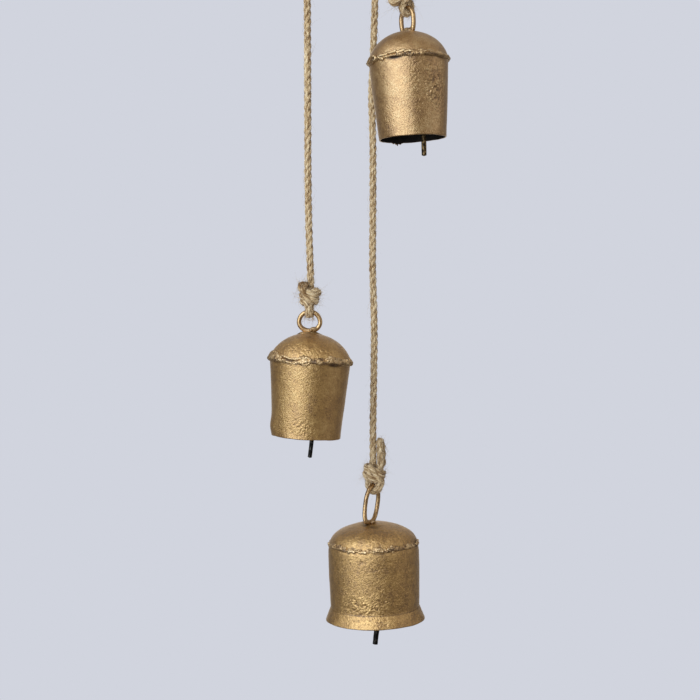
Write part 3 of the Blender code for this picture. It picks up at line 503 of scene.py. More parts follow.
def brazed_metal(name, light, middle, dark, rough, shift, speckle=0.35, ripple=0.085):
    """Brass brazed over sheet iron in a clay fire: a satin skin of soft gold that drifts to brown, with
    pores and scale that stay dark and fine grit where the clay touched it. Each piece's attribute darkens it with dirt
    and painted shade, and lightens high places with a painted highlight."""
    made, tree, place = new_material(name)
    place = add(tree, "Mapping", {"Vector": place, "Location": shift})
    broad, cloud, grit, fine = (
        add(tree, "TexNoise", {"Vector": place, "Scale": per_mm(size), "Detail": detail, "Roughness": harsh})
        for size, detail, harsh in ((17.0, 4.0, 0.5), (4.6, 5.0, 0.6), (0.9, 3.0, 0.6), (0.42, 2.0, 0.5)))
    # Dirt and painted shade from each piece, and below nought a painted highlight
    grime = add(tree, "Attribute", attribute_name="grime").outputs["Fac"]
    mixed = 0.0
    for part, share in ((broad, 0.5), (cloud, 0.7), (grit, 1.0), (grime, -0.35)):
        mixed = add(tree, "Math", {0: part, 1: share, 2: mixed}, operation="MULTIPLY_ADD")
    tone = add(tree, "MapRange", {"Value": mixed, "From Min": 0.82, "From Max": 1.38})
    colour = add(tree, "ValToRGB", {"Fac": tone}, stops=[(0.0, dark), (0.5, middle), (1.0, light)])
    pores = add(tree, "MapRange", {"Value": fine, "From Min": 0.60, "From Max": 0.70, "To Max": speckle})
    # Darker with pores, dirt and painted shade
    dirt_and_shade = add(tree, "Math", {0: grime, 1: pores}, operation="ADD", use_clamp=True)
    stained_and_shaded = add(tree, "Mix", {0: dirt_and_shade, 6: colour, 7: linear("33230F")}, data_type="RGBA")
    roughness = add(tree, "MapRange", {"Value": cloud, "From Min": 0.3, "From Max": 0.7,
                                       "To Min": rough[0], "To Max": rough[1]})
    roughness = add(tree, "Mix", {0: dirt_and_shade, 2: roughness, 3: 0.85})
    metal = add(tree, "MapRange", {"Value": dirt_and_shade, "To Min": 1.0, "To Max": 0.5})
    wax = add(tree, "MapRange", {"Value": dirt_and_shade, "To Min": 1.0, "To Max": 0.1})
    height = add(tree, "Math", {0: fine, 1: 0.45, 2: grit}, operation="MULTIPLY_ADD")
    relief = add(tree, "Bump", {"Strength": 1.0, "Distance": ripple * MM, "Height": height})
    shader = add(tree, "BsdfPrincipled", {
        "Base Color": stained_and_shaded, "Roughness": roughness, "Metallic": metal, "Normal": relief,
        "Coat Weight": wax, "Coat Roughness": 0.32, "Coat IOR": 1.8, "Coat Normal": relief})
    add(tree, "OutputMaterial", {"Surface": shader})
    return made


def plain_metal(name, size, detail, stops, span, rough, metallic, relief):
    """Bare or blackened metal, whose one noise, of a size in millimetres, moves its colour between two stops,
    its roughness over a span of the noise, and its relief, which is (strength, depth)."""
    made, tree, place = new_material(name)
    marks = add(tree, "TexNoise", {"Vector": place, "Scale": per_mm(size), "Detail": detail})
    colour = add(tree, "ValToRGB", {"Fac": marks}, stops=stops)
    roughness = add(tree, "MapRange", {"Value": marks, "From Min": span[0], "From Max": span[1],
                                       "To Min": rough[0], "To Max": rough[1]})
    bump = add(tree, "Bump", {"Strength": relief[0], "Distance": relief[1] * MM, "Height": marks})
    shader = add(tree, "BsdfPrincipled", {"Base Color": colour, "Metallic": metallic, "Roughness": roughness,
                                          "Normal": bump})
    add(tree, "OutputMaterial", {"Surface": shader})
    return made


def jute(name, light, middle, dark):
    """Retted jute spun into three strands: pale straw fibres with brown ones among them, dull, hairy, with
    fine streaks along the cord. UV is around and along the cord, in metres."""
    made, tree, _ = new_material(name)
    place = add(tree, "UVMap", uv_map="lengths")
    drawn = add(tree, "Mapping", {"Vector": place, "Scale": (1.0, 0.09, 1.0)})
    fibre = add(tree, "TexNoise", {"Vector": drawn, "Scale": per_mm(0.34), "Detail": 3.0})
    yarns = add(tree, "TexNoise", {"Vector": drawn, "Scale": per_mm(1.1), "Detail": 3.0})
    spots = add(tree, "TexNoise", {"Vector": place, "Scale": per_mm(1.5), "Detail": 4.0, "Roughness": 0.6})
    mixed = add(tree, "Math", {0: fibre, 1: yarns}, operation="ADD")
    tone = add(tree, "MapRange", {"Value": mixed, "From Min": 0.82, "From Max": 1.18})
    # Painted shade in the cord's grooves, and darker towards the knots' cut ends
    hollow = add(tree, "Attribute", attribute_name="grime").outputs["Fac"]
    tone = add(tree, "Math", {0: tone, 1: hollow}, operation="SUBTRACT", use_clamp=True)
    colour = add(tree, "ValToRGB", {"Fac": tone}, stops=[(0.0, dark), (0.45, middle), (1.0, light)])
    brown = add(tree, "MapRange", {"Value": spots, "From Min": 0.54, "From Max": 0.68, "To Max": 0.6})
    colour = add(tree, "Mix", {0: brown, 6: colour, 7: linear("8A633A")}, data_type="RGBA")
    frayed = add(tree, "MapRange", {"Value": hollow, "From Min": 0.8, "From Max": 1.6, "To Max": 0.65})
    colour = add(tree, "Mix", {0: frayed, 6: colour, 7: linear("58422A")}, data_type="RGBA")
    relief = add(tree, "Bump", {"Strength": 1.0, "Distance": 0.35 * MM, "Height": mixed})
    shader = add(tree, "BsdfPrincipled", {"Base Color": colour, "Roughness": 0.9, "Specular IOR Level": 0.25,
                                          "Sheen Weight": 0.25, "Normal": relief})
    add(tree, "OutputMaterial", {"Surface": shader})
    return made


def oiled_oak():
    """Turned oak under oil: warm brown, growth rings drawn along the grain, open pores as short dark dashes."""
    made, tree, place = new_material("oiled_oak")
    grain = add(tree, "Mapping", {"Vector": place, "Scale": (0.06, 1.0, 0.8), "Rotation": (0.0, 0.06, 0.22)})
    wander = add(tree, "TexNoise", {"Vector": grain, "Scale": per_mm(24.0), "Detail": 3.0})
    rings = add(tree, "TexWave", {"Vector": grain, "Scale": per_mm(22.0), "Distortion": 5.0, "Detail": 3.0,
                                  "Detail Scale": 1.2}, bands_direction="Y").outputs["Fac"]
    pores = add(tree, "TexNoise", {"Vector": grain, "Scale": per_mm(0.55), "Detail": 2.0})
    mixed = add(tree, "Math", {0: rings, 1: 0.6, 2: wander}, operation="MULTIPLY_ADD")
    colour = add(tree, "ValToRGB", {"Fac": mixed}, stops=[(0.3, "8C6239"), (0.65, "A87B4A"), (1.0, "C09460")])
    dashes = add(tree, "MapRange", {"Value": pores, "From Min": 0.58, "From Max": 0.66, "To Max": 0.7})
    colour = add(tree, "Mix", {0: dashes, 6: colour, 7: linear("5A3A1D")}, data_type="RGBA")
    relief = add(tree, "Bump", {"Strength": 0.5, "Distance": -0.15 * MM, "Height": dashes})
    shader = add(tree, "BsdfPrincipled", {"Base Color": colour, "Roughness": 0.48, "Specular IOR Level": 0.4,
                                          "Normal": relief})
    add(tree, "OutputMaterial", {"Surface": shader})
    return made


JUTE = jute("spun_jute", "EED9B4", "CDAF82", "7E5D39")
SKINS = {
    "upper": brazed_metal("brazed_brass_upper", "D6B782", "BC9358", "946B3A", (0.34, 0.48), (0.0, 0.0, 0.0),
                          ripple=0.24),
    "middle": brazed_metal("brazed_brass_middle", "D8B471", "C29751", "956C35", (0.36, 0.50), (0.31, 0.17, 0.0),
                           ripple=0.25),
    "lower": brazed_metal("brazed_brass_lower", "DEB56D", "BE934D", "89622E", (0.32, 0.48), (0.11, 0.53, 0.2),
                          speckle=0.5, ripple=0.35),
}
BRAZE = brazed_metal("braze_bead", "F2D8AA", "CCA66A", "764D25", (0.26, 0.42), (0.7, 0.2, 0.4), speckle=0.5,
                     ripple=0.4)
RING_METAL = brazed_metal("brazed_ring_wire", "DDB97C", "B48C50", "755226", (0.24, 0.36), (0.4, 0.6, 0.1),
                          speckle=0.4, ripple=0.12)
# Iron blackened by the fire, seen only up inside the mouths: matt, nearly black, a little brown
INSIDE = plain_metal("fire_blackened_iron_inside", 3.0, 5.0, [(0.35, "0E0B09"), (0.7, "241B14")],
                     (0.0, 1.0), (0.8, 0.8), 0.3, (0.6, 0.15))
# Drawn iron wire with its black scale on: dark and half dull, rubbed to metal in patches
BLACK_IRON = plain_metal("black_iron_wire", 1.6, 5.0, [(0.5, "1B1A19"), (0.72, "54504A")],
                         (0.5, 0.72), (0.55, 0.38), 0.9, (0.7, 0.12))
# The same wire with a skin of braze on it, rubbed to a dull bronze
BRONZED_IRON = plain_metal("bronzed_iron_rod", 1.6, 5.0, [(0.42, "231D17"), (0.62, "8C7450")],
                           (0.42, 0.62), (0.55, 0.38), 0.9, (0.7, 0.12))
# Brass-plated steel: a smooth satin gold with the faintest draw marks
HOOK_METAL = plain_metal("brass_plated_steel", 0.8, 3.0, [(0.3, "B8934E"), (0.7, "D6B572")],
                         (0.0, 1.0), (0.22, 0.36), 1.0, (0.3, 0.05))
OAK = oiled_oak()


def joint_place(name):
    """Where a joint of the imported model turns, in millimetres."""
    return np.array(next(j for j in frame["joints"] if j["name"] == name)["pos_m"]) / MM


class Hung:
    """One bell's frame: its pivot, and how its pieces lie in it."""

    def __init__(self, name, bell):
        self.name, self.bell, self.body = name, bell, f"{name}_bell"
        self.pivot = joint_place(f"{name}_bell_swing")
        self.seat = np.array((*bell["hook"], HOOK_SEAT))
        _, above, below = bell["ring"]
        self.drop = above if bell["ring_slides"] else 0.0
        self.foot = about_y((0.0, 0.0, -(above + below)), bell["ring_tilt"])
        dome_top = self.drop + self.foot[2] - RING_WIRE_RADIUS - RING_CLEARANCE
        self.foot_on_dome = np.array((self.foot[0], self.foot[1], dome_top))
        self.shoulder = np.array((*bell["body_place"], dome_top - bell["dome"][0]))
        self.ring_wire = self.seat + np.array((bell["ring_offset"], 0.0, -bell["hang"]))

    def world(self, points):
        """Points of the bell's own frame, leant and set at its pivot."""
        return about_y(points, self.bell["lean"]) + self.pivot

    def from_shoulder(self, points):
        """Points from the middle of the shoulder."""
        return self.world(points + self.shoulder)


HUNG = {name: Hung(name, bell) for name, bell in BELLS.items()}


def tube(path, radius, step=WIRE_RING_STEP, columns=WIRE_COLUMNS, loop=False, rounded=0.0, knobs=0.0, seed=0,
         smooth=True):
    """Rings of a round wire: each ring is its centre plus radius times (cos a, sin a) in the carried frame.
    rounded is how far the ends draw in, as a quarter circle, and knobs is how uneven the wire is."""
    curve = catmull(path) if smooth else np.asarray(path, dtype=float)
    if loop:
        centres, along = evened(np.vstack((curve, curve[:1])), step)
        centres, along = centres[:-1], along[:-1]
    else:
        centres, along = evened(curve, step)
    first, second, _ = carried(centres, loop=loop)
    size = np.full(len(centres), radius)
    if rounded:
        near = np.clip(np.minimum(along, along[-1] - along) / rounded, 0.0, 1.0)
        size = size * np.sqrt(np.clip(1.0 - (1.0 - near) ** 2, 0.02, 1.0))
    angle = full_turn(columns)
    out = first[:, None] * np.cos(angle)[None, :, None] + second[:, None] * np.sin(angle)[None, :, None]
    rings = centres[:, None] + out * size[:, None, None]
    if knobs:
        rings = rings + out * (knobs * noise(rings, 1.6 * radius, seed, 3))[..., None]
    return rings


def laid_cord(path, step, size=None, seed=0, phase=0.0, cut=False, hairy=1.0):
    """Rings of a three-strand cord. Round the cord, a strand's outside is p cos a + √(s² − p² sin² a) from
    the axis, a being the angle from that strand's middle, p its place and s its radius. The strands turn
    once in each lay length, and a cut end draws in. Returns the rings, their UV, the painted shade in the
    grooves and the track: centres, two directions, heading and thickness."""
    centres, along = evened(catmull(path), step)
    first, second, heading = carried(centres)
    share = np.arange(CORD_COLUMNS + 1) / CORD_COLUMNS
    lobe = ((share * 3) % 1.0 - 0.5) * (2 * math.pi / 3)
    reach = STRAND_PLACE * np.cos(lobe) + np.sqrt(STRAND_RADIUS**2 - (STRAND_PLACE * np.sin(lobe)) ** 2)
    turn = 2 * math.pi * (share[None, :] + along[:, None] / LAY_LENGTH) + phase
    thick = np.ones(len(along))
    if size is not None:
        thick = np.interp(along / along[-1], [s for s, _ in size], [v for _, v in size])
    if cut:
        thick = thick * np.interp(along[-1] - along, (0.0, 0.5, 1.6), (0.82, 0.95, 1.0))
    strand = np.floor(share * 3)
    place = np.stack((np.cos(turn) * 2.2 + strand[None, :] * 9.0, np.sin(turn) * 2.2,
                      np.broadcast_to(along[:, None] * 0.35, turn.shape)), axis=-1)
    uneven = 1.0 + hairy * (0.075 * noise(place, 1.5, seed, 2) + 0.05 * noise(place, 0.5, seed + 7, 2))
    reach = reach[None, :] * thick[:, None] * uneven
    out = first[:, None] * np.cos(turn)[..., None] + second[:, None] * np.sin(turn)[..., None]
    rings = centres[:, None] + out * reach[..., None]
    uv = np.stack((turn * CORD_RADIUS, np.broadcast_to(along[:, None], turn.shape)), axis=-1)
    # Painted shade in the grooves between the strands, a little uneven
    groove = np.clip(1.35 * np.abs(lobe) / (math.pi / 3) - 0.75, 0.0, 1.0)[None, :]
    groove = groove * 0.42 + 0.2 * noise(place, 2.4, seed + 3, 2)
    return rings[:, :-1], uv, groove[:, :-1], (centres, first, second, heading, thick)


def fibres(name, track, body, count, reach, spread=1.0, seed=0):
    """Stray fibres: thin tapering hairs that leave the cord's surface and curl away. A hair's middle line
    is root + out·l·(t − bend·t²) + along·l·lean·t + side·l·curl·t²."""
    rng = np.random.default_rng(seed)
    centres, first, second, heading, thick = track
    at = rng.integers(1, len(centres) - 1, count)
    angle = rng.uniform(0.0, 2 * math.pi, count)[:, None]
    out = first[at] * np.cos(angle) + second[at] * np.sin(angle)
    along = heading[at]
    side = np.cross(along, out)
    length = reach * np.minimum(rng.gamma(2.0, 0.5, count), 1.9)[:, None]
    lean = (rng.choice((-1.0, 1.0), count) * rng.uniform(0.4, 2.2, count))[:, None]
    curl = (rng.normal(0.0, 0.6, count) * spread)[:, None]
    bend = rng.uniform(0.2, 0.9, count)[:, None]
    t = np.linspace(0.0, 1.0, HAIR_RINGS)[None]
    root = out * (0.72 * CORD_RADIUS * thick[at])[:, None] + centres[at]
    middle = (root[:, None] + out[:, None] * (length * (t - bend * t**2))[..., None]
              + along[:, None] * (length * lean * t)[..., None] + side[:, None] * (length * curl * t**2)[..., None])
    radius = (rng.uniform(0.055, 0.11, count)[:, None] * (1.0 - 0.85 * t))[..., None]
    corner = full_turn(HAIR_SIDES)
    rings = (middle[:, :, None] + side[:, None, None] * (radius * np.cos(corner))[..., None]
             + np.cross(side, along + 0.01)[:, None, None] * (radius * np.sin(corner))[..., None])
    hair = np.arange(HAIR_RINGS * HAIR_SIDES)
    ends = np.array([hair[:HAIR_SIDES][::-1], hair[-HAIR_SIDES:]])
    corners, groups = rings.reshape(-1, 3), []
    for faces in (grid_faces(HAIR_RINGS, HAIR_SIDES), ends):
        faces = (faces[None] + np.arange(count)[:, None, None] * hair.size).reshape(-1, faces.shape[1])
        groups.append((faces, corners[faces][..., (0, 2)], np.zeros(len(faces))))
    piece(name, [JUTE], body, "jute_cord", (corners, groups, None))


def camera():
    """The photograph's view: level with the cords' middle, looking down a little, 0.7 mm to a pixel."""
    data = bpy.data.cameras.new("photograph")
    data.sensor_width = SENSOR
    data.lens = SENSOR * CAMERA_DISTANCE / (PIXEL * PICTURE_WIDTH)
    data.clip_start = 0.01
    made = bpy.data.objects.new("photograph", data)
    made.location = (0.0, -CAMERA_DISTANCE * MM, CAMERA_HEIGHT * MM)
    made.rotation_euler = (math.radians(90.0 + CAMERA_PITCH), 0.0, 0.0)
    bpy.context.scene.collection.objects.link(made)
    bpy.context.scene.camera = made


def hanging_cord(hung):
    """A cord's free stretch and the knot at its foot, with their stray fibres."""
    name, bell, body = hung.name, hung.bell, f"{hung.name}_cord"
    seed = 11 * len(name) + ord(name[0])
    route = [(x, y, CORD_TOP + (bell["cord_end"] - CORD_TOP) * share) for x, y, share in bell["cord"]]
    route = np.array(route) + hung.seat
    rings, uv, groove, track = laid_cord(route, CORD_RING_STEP, seed=seed)
    cord = piece(f"{name}_laid_cord", [JUTE], body, "jute_cord", surface(rings, uv=uv, grime=groove))
    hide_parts(f"{name}_cord")
    length = np.linalg.norm(np.diff(track[0], axis=0), axis=1).sum()
    for kind, (dense, reach), more in (("fuzz", CORD_FUZZ, 1), ("fibres", CORD_FIBRES, 2)):
        fibres(f"{name}_cord_{kind}", track, body, round(dense * length), reach, seed=seed + more)

    rings, uv, groove, track_of_knot = laid_cord(
        np.array(bell["knot"]) + hung.ring_wire, KNOT_RING_STEP, size=bell["knot_size"], seed=seed + 5, phase=1.0,
        cut=True, hairy=1.8)
    below = rings[..., 2] - hung.ring_wire[2] + RING_WIRE_RADIUS
    rings[..., 2] -= np.where(below < 0, (1.0 - bell["squash"]) * below, 0.0)
    gone = (track_of_knot[0] - track_of_knot[0][-1])[:, None, :]
    frayed = np.clip(1.5 - np.linalg.norm(gone, axis=-1) / bell["frayed"], 0.0, 1.5)
    frayed = frayed * np.clip(0.7 + 1.2 * noise(rings, 1.5, seed, 2), 0.0, 1.0)
    groove = groove + np.where(np.arange(len(groove))[:, None] > 0.8 * len(groove), frayed, 0.0)
    knot = piece(f"{name}_tied_knot", [JUTE], body, "jute_cord", surface(rings, uv=uv, grime=groove))
    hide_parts(f"{name}_cord_knot")
    end = [part[-TUFT_RINGS:] for part in track_of_knot]
    fibres(f"{name}_knot_tuft", end, body, round(16 * bell["frayed"]) + 6, 2.4, 0.8, seed + 7)
    fibres(f"{name}_knot_fuzz", track_of_knot, body, *KNOT_FUZZ, seed + 8)
    fibres(f"{name}_knot_fibres", track_of_knot, body, *KNOT_FIBRES, seed + 9)


def cord_eye(hung):
    """The loop that hangs the cord on its hook: up one leg, over the hook's wire, down the other, round
    the cord and out as a short tail."""
    name, body = hung.name, f"{hung.name}_cord"
    bend = HOOK_WIRE_RADIUS + 0.2 + CORD_RADIUS
    path = [(0.0, 0.0, -27.0), (-0.2, 0.9, -22.5), (-0.3, 2.6, -16.0), (0.0, 3.8, -8.0), (0.0, bend, -1.0),
            (0.0, 0.72 * bend, 0.72 * bend), (0.0, 0.0, bend), (0.0, -0.72 * bend, 0.72 * bend),
            (0.0, -bend, -1.0), (0.0, -3.6, -8.0), (0.4, -3.4, -14.0), (2.4, -3.6, -17.6), (4.8, 0.0, -18.8),
            (2.4, 4.2, -19.4), (-2.6, 4.2, -19.8), (-5.0, 0.0, -20.2), (-2.6, -4.2, -20.8), (2.0, -4.4, -20.6),
            (5.6, -3.8, -21.8), (7.8, -4.2, -24.8), (9.0, -4.6, -27.5)]
    seed = 5 * len(name)
    rings, uv, groove, track = laid_cord(np.array(path) + hung.seat, KNOT_RING_STEP, seed=seed, cut=True,
                                         size=[(0.0, 1.0), (0.6, 0.95), (1.0, 0.98)])
    eye = piece(f"{name}_tied_eye", [JUTE], body, "jute_cord", surface(rings, uv=uv, grime=groove))
    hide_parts(f"{name}_cord_eye")
    fibres(f"{name}_eye_fibres", track, body, *EYE_FIBRES, seed + 2)


def cup_hook(hung):
    """A wire bent into a cup, its neck brought back over the seat, with a collar under the block. The neck
    is (1 − t)³ start + 3(1 − t)²t first handle + 3(1 − t)t² last handle + t³ end."""
    turn = np.radians(np.linspace(HOOK_TIP_ANGLE - 90.0, -HOOK_NECK_ANGLE - 90.0, 40))
    bend = np.stack((HOOK_BEND_RADIUS * np.cos(turn), 0 * turn, HOOK_BEND_RADIUS * (1 + np.sin(turn))), axis=1)
    heading = about_y((-1.0, 0.0, 0.0), HOOK_NECK_ANGLE)
    top = np.array((0.0, 0.0, HOOK_NECK_HEIGHT))
    t = np.linspace(0.0, 1.0, 24)[1:, None]
    first = bend[-1] + heading * HOOK_NECK_HANDLE
    last = top - np.array((0.0, 0.0, HOOK_NECK_HANDLE))
    neck = (1 - t) ** 3 * bend[-1] + 3 * (1 - t) ** 2 * t * first + 3 * (1 - t) * t**2 * last + t**3 * top
    path = np.vstack((bend, neck, [(0.0, 0.0, HOOK_SHANK_TOP)])) + hung.seat
    rings = tube(path, HOOK_WIRE_RADIUS, step=0.5, rounded=1.1, smooth=False, columns=24)
    wide, wire, low = HOOK_COLLAR_RADIUS, HOOK_WIRE_RADIUS, -HOOK_COLLAR_THICKNESS
    collar = np.array([(0.9, 0.0), (wide - 0.3, 0.0), (wide, -0.3), (wide, low + 0.4), (wide - 0.6, low),
                       (wire + 0.9, low - 0.1), (wire + 0.2, -1.9), (0.9, -2.1)])
    collar = turned_rings(collar, full_turn(SMALL_COLUMNS)) + hung.seat + np.array((0.0, 0.0, HOOK_COLLAR_TOP))
    hook = piece(f"{hung.name}_bent_hook", [HOOK_METAL], "block", "hook_brass", surface(rings),
                 surface(collar, inward=True))
    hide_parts(f"{hung.name}_hook")


def ceiling_block():
    """The turned block: a disc with a rounded lower edge, two countersunk holes and three pilot holes."""
    edge = np.radians(np.linspace(0.0, -90.0, 12))
    middle = (BLOCK_RADIUS - BLOCK_EDGE_RADIUS, -BLOCK_THICKNESS + BLOCK_EDGE_RADIUS)
    outline = [(0.5, 0.0), (BLOCK_RADIUS - BLOCK_TOP_CHAMFER, 0.0), (BLOCK_RADIUS, -BLOCK_TOP_CHAMFER)]
    outline += [(middle[0] + BLOCK_EDGE_RADIUS * math.cos(a), middle[1] + BLOCK_EDGE_RADIUS * math.sin(a))
                for a in edge]
    outline.append((0.5, -BLOCK_THICKNESS))
    block = piece("turned_block", [OAK], "block", "oak_block",
                  surface(turned_rings(np.array(outline), full_turn(BLOCK_COLUMNS)), inward=True))
    low, up = -BLOCK_THICKNESS - 1.0, 1.0
    line = [(COUNTERSINK_RADIUS + 0.8, low), (FIXING_HOLE_RADIUS, -BLOCK_THICKNESS + COUNTERSINK_DEPTH),
            (FIXING_HOLE_RADIUS, up)]
    holes = [(line, (FIXING_HOLE_X, y)) for y in (-FIXING_HOLE_SPACING / 2, FIXING_HOLE_SPACING / 2)]
    line = [(SHANK_HOLE_RADIUS, low), (SHANK_HOLE_RADIUS, SHANK_HOLE_TOP)]
    holes += [(line, hung.seat[:2]) for hung in HUNG.values()]
    cutters = []
    for line, (x, y) in holes:
        grid = turned_rings(np.array(line), full_turn(SMALL_COLUMNS)) + np.array((x, y, 0.0))
        cutters.append(piece(f"hole_{len(cutters)}", [OAK], "block", "oak_block", surface(grid)))
        cut = block.modifiers.new("hole", "BOOLEAN")
        cut.operation, cut.object, cut.solver = "DIFFERENCE", cutters[-1], "EXACT"
    bpy.context.view_layer.update()
    mesh = bpy.data.meshes.new_from_object(block.evaluated_get(bpy.context.evaluated_depsgraph_get()))
    block.modifiers.clear()
    block.data = mesh
    for cutter in cutters:
        bpy.data.objects.remove(cutter, do_unlink=True)
    mesh.materials.clear()
    mesh.materials.append(OAK)
    mesh.set_sharp_from_angle(angle=math.radians(BLOCK_SHARP_ANGLE))
    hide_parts("ceiling_block")


def dome_ellipse(bell):
    """The half width and half height of the dome's whole ellipse, and the angle of its rim."""
    height, radius, degrees = bell["dome"]
    sweep = math.radians(degrees)
    return radius / math.sin(sweep), height / (1 - math.cos(sweep)), sweep


def dome_curve(bell, inside=0.0):
    """The dome's ellipse from the axis to the rim, as (radius, height), moved inwards by an even amount."""
    wide, tall, sweep = dome_ellipse(bell)
    a = np.linspace(0.0, sweep, 120)
    out, up = np.sin(a) / wide, np.cos(a) / tall
    rest = np.clip((a / sweep - 0.35) / 0.65, 0.0, 1.0)
    bulge = bell["dome_bulge"] * np.sin(math.pi * rest**1.3)
    share = (bulge - inside) / np.hypot(out, up)
    height = bell["dome"][0] - tall + tall * np.cos(a)
    return np.stack((wide * np.sin(a) + share * out, height + share * up), axis=1)


def weathered_and_shaded(rings, bell, seed):
    """How far the skin stands in or out at each place from the shoulder's middle, and how much painted
    shade darkens it, where less than nothing is a painted highlight.

    It adds a broad unevenness, the bell's own dents, and lumps and ridges over the whole skin that are
    stronger in the pebbled patches and here and there on the back. Each patch is a soft bump in x and
    height on the front half. Hollows between the lumps get painted shade and their tops a painted
    highlight, and painted shade lies in a band on both sides of the bead and in the listed hollows."""
    x, y, z = np.moveaxis(rings, -1, 0)
    front = np.clip(0.5 - y / 20.0, 0.0, 1.0)
    out = 0.22 * noise(rings, 16.0, seed, 2) + 0.045 * noise(rings, 3.2, seed + 1, 2)
    for place in bell["dents"]:
        out = out + place[4] * bump_at(x, z, place) * front
    askew = about_y(about_z(rings, 31.0), 27.0)
    lumps = noise(askew, 1.0, seed + 2, 2)
    ridges = 1.0 - 2.0 * np.abs(noise(askew, 1.6, seed + 3, 1))
    rough = bell["skin"] * (1.0 + 0.8 * noise(rings, 9.0, seed + 5, 2))
    for place in bell["pebbles"]:
        rough = rough + place[4] * bump_at(x, z, place) * front
    behind = np.clip(0.5 + y / 20.0, 0.0, 1.0) * np.clip(noise(rings, 22.0, seed + 6, 1) + 0.1, 0.0, 1.0)
    rough = rough + 0.16 * behind
    pebbled = rough * (1.1 * lumps + bell["ridges"] * ridges)
    # Painted shade in the hollows between the lumps, and a painted highlight on their tops
    grime = np.clip(-1.8 * pebbled - 0.06, 0.0, 0.5)
    shine = np.clip(2.6 * pebbled - 0.06, 0.0, 1.0)
    # Painted shade in a band on both sides of the bead
    ledge = np.exp(-0.5 * ((np.abs(z) - 1.8) / 0.7) ** 2) * np.clip(noise(rings, 3.0, seed + 8, 2) + 0.1, 0, 1)
    grime = np.maximum(grime, 0.75 * ledge)
    # Painted shade in the listed cracks and creases
    for place in bell["hollows"]:
        grime = np.maximum(grime, place[4] * np.clip(1.4 * bump_at(x, z, place), 0.0, 1.0) * front)
    return out + pebbled, grime - shine


def shell(bell, outer, inner, lip, seed):
    """A wall of sheet: the outer line down, round the lip, and the inner line back up, turned about Z.
    Both faces move in and out together with the weathering, so the wall keeps its thickness. Returns the
    profile, its columns' angles, the rings, the weathering, its painted shade and highlights, and the number of outer
    rows."""
    around = full_turn(BODY_COLUMNS, 0.5)
    outer, _ = evened(outer, BODY_ROW_STEP)
    inner, _ = evened(inner, INNER_ROW_STEP)
    profile = np.vstack((outer, lip, inner[::-1]))
    rings = turned_rings(profile, around)
    return profile, around, rings, *weathered_and_shaded(rings, bell, seed), len(outer)


def bell_dome(hung):
    """The raised dome, with the soot of its inside. Its skin moves out from a point below its middle."""
    bell, name = hung.bell, hung.name
    outer, inner = dome_curve(bell), dome_curve(bell, SHEET)
    inner[:, 0] = np.maximum(inner[:, 0], DOME_HUB)
    outer[0, 0] = inner[0, 0] = DOME_HUB
    profile, _, rings, drift, grime, count = shell(bell, outer, inner, np.empty((0, 2)), ord(name[0]))
    direction = rings - np.array((0.0, 0.0, DOME_SWELL_FROM))
    direction = direction / np.linalg.norm(direction, axis=-1)[..., None]
    near_axis = np.clip(profile[:, 0] / 4.0, 0.0, 1.0)[:, None]
    rim = np.clip(profile[:, 1] / 3.0, 0.25, 1.0)[:, None]
    drift = drift * (0.4 + 0.6 * near_axis)
    rings = rings + direction * (drift * rim)[..., None]
    bands = np.arange(len(profile) - 1) >= count - 1
    dome = piece(f"{name}_raised_dome", [SKINS[name], INSIDE], hung.body, "brazed_sheet",
                 surface(hung.from_shoulder(rings), inward=True, bands=bands, grime=grime))
    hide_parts(f"{name}_bell_dome")


def bell_skirt(hung):
    """The rolled skirt, its lap and the wavering edge of its mouth. A taper of a few points is a smooth
    curve, and one of many is taken as it stands."""
    bell, name = hung.bell, hung.name
    outer = np.array([(bell["dome"][1] - inset, -depth) for inset, depth in bell["taper"]])
    if len(outer) < 6:
        outer = catmull(outer, 16)
    mouth = outer[-1]
    curl = np.radians(np.linspace(10.0, 170.0, 9))
    lip = np.stack((mouth[0] - SHEET / 2 + SHEET / 2 * np.cos(curl), mouth[1] - 0.5 * SHEET * np.sin(curl)), axis=1)
    profile, around, rings, drift, grime, count = shell(bell, outer, outer - np.array((SHEET, 0.0)), lip, ord(name[1]))
    direction = outwards(around)
    edge = direction * 20.0
    near_mouth = np.exp((mouth[1] - profile[:, 1]) / 4.0)[:, None]
    drift = drift + near_mouth * 0.3 * noise(edge, 6.0, seed=9, octaves=2)[None, :]
    past = np.degrees((around - math.radians(bell["lap_azimuth"]) + math.pi) % (2 * math.pi) - math.pi)
    lapped = np.where(past > 0, np.clip(1.0 - past / 1.4, 0.0, 1.0), np.clip(1.0 + past / 22.0, 0.0, 1.0))
    lapped = (bell["lap"][0] * lapped)[None, :]
    depth_share = np.clip((bell["lap"][1] - profile[:, 1]) / 3.0, 0.0, 1.0)[:, None]
    drift = drift + lapped * depth_share * (np.arange(len(profile)) < count)[:, None]
    rings = rings + direction * drift[..., None]
    rings[..., 2] += near_mouth * (0.35 * noise(edge, 9.0, seed=4, octaves=2))[None, :]
    x, half, depth = bell["burr"]
    rim = np.exp((mouth[1] - profile[:, 1]) / 1.2)[:, None]
    torn = np.exp(-0.5 * ((edge[:, 0] * mouth[0] / 20.0 - x) / half) ** 2) * (edge[:, 1] > 0)
    torn = depth * torn * np.clip(0.6 + 1.6 * noise(edge, 1.1, seed=12, octaves=2), 0.0, 2.0)
    rings[..., 2] -= rim * torn[None, :]
    bands = np.arange(len(profile)) >= count + 6
    skirt = piece(f"{name}_rolled_skirt", [SKINS[name], INSIDE], hung.body, "brazed_sheet",
                  surface(hung.from_shoulder(rings), loop=True, inward=True, bands=bands, grime=grime))
    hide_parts(f"{name}_bell_skirt")


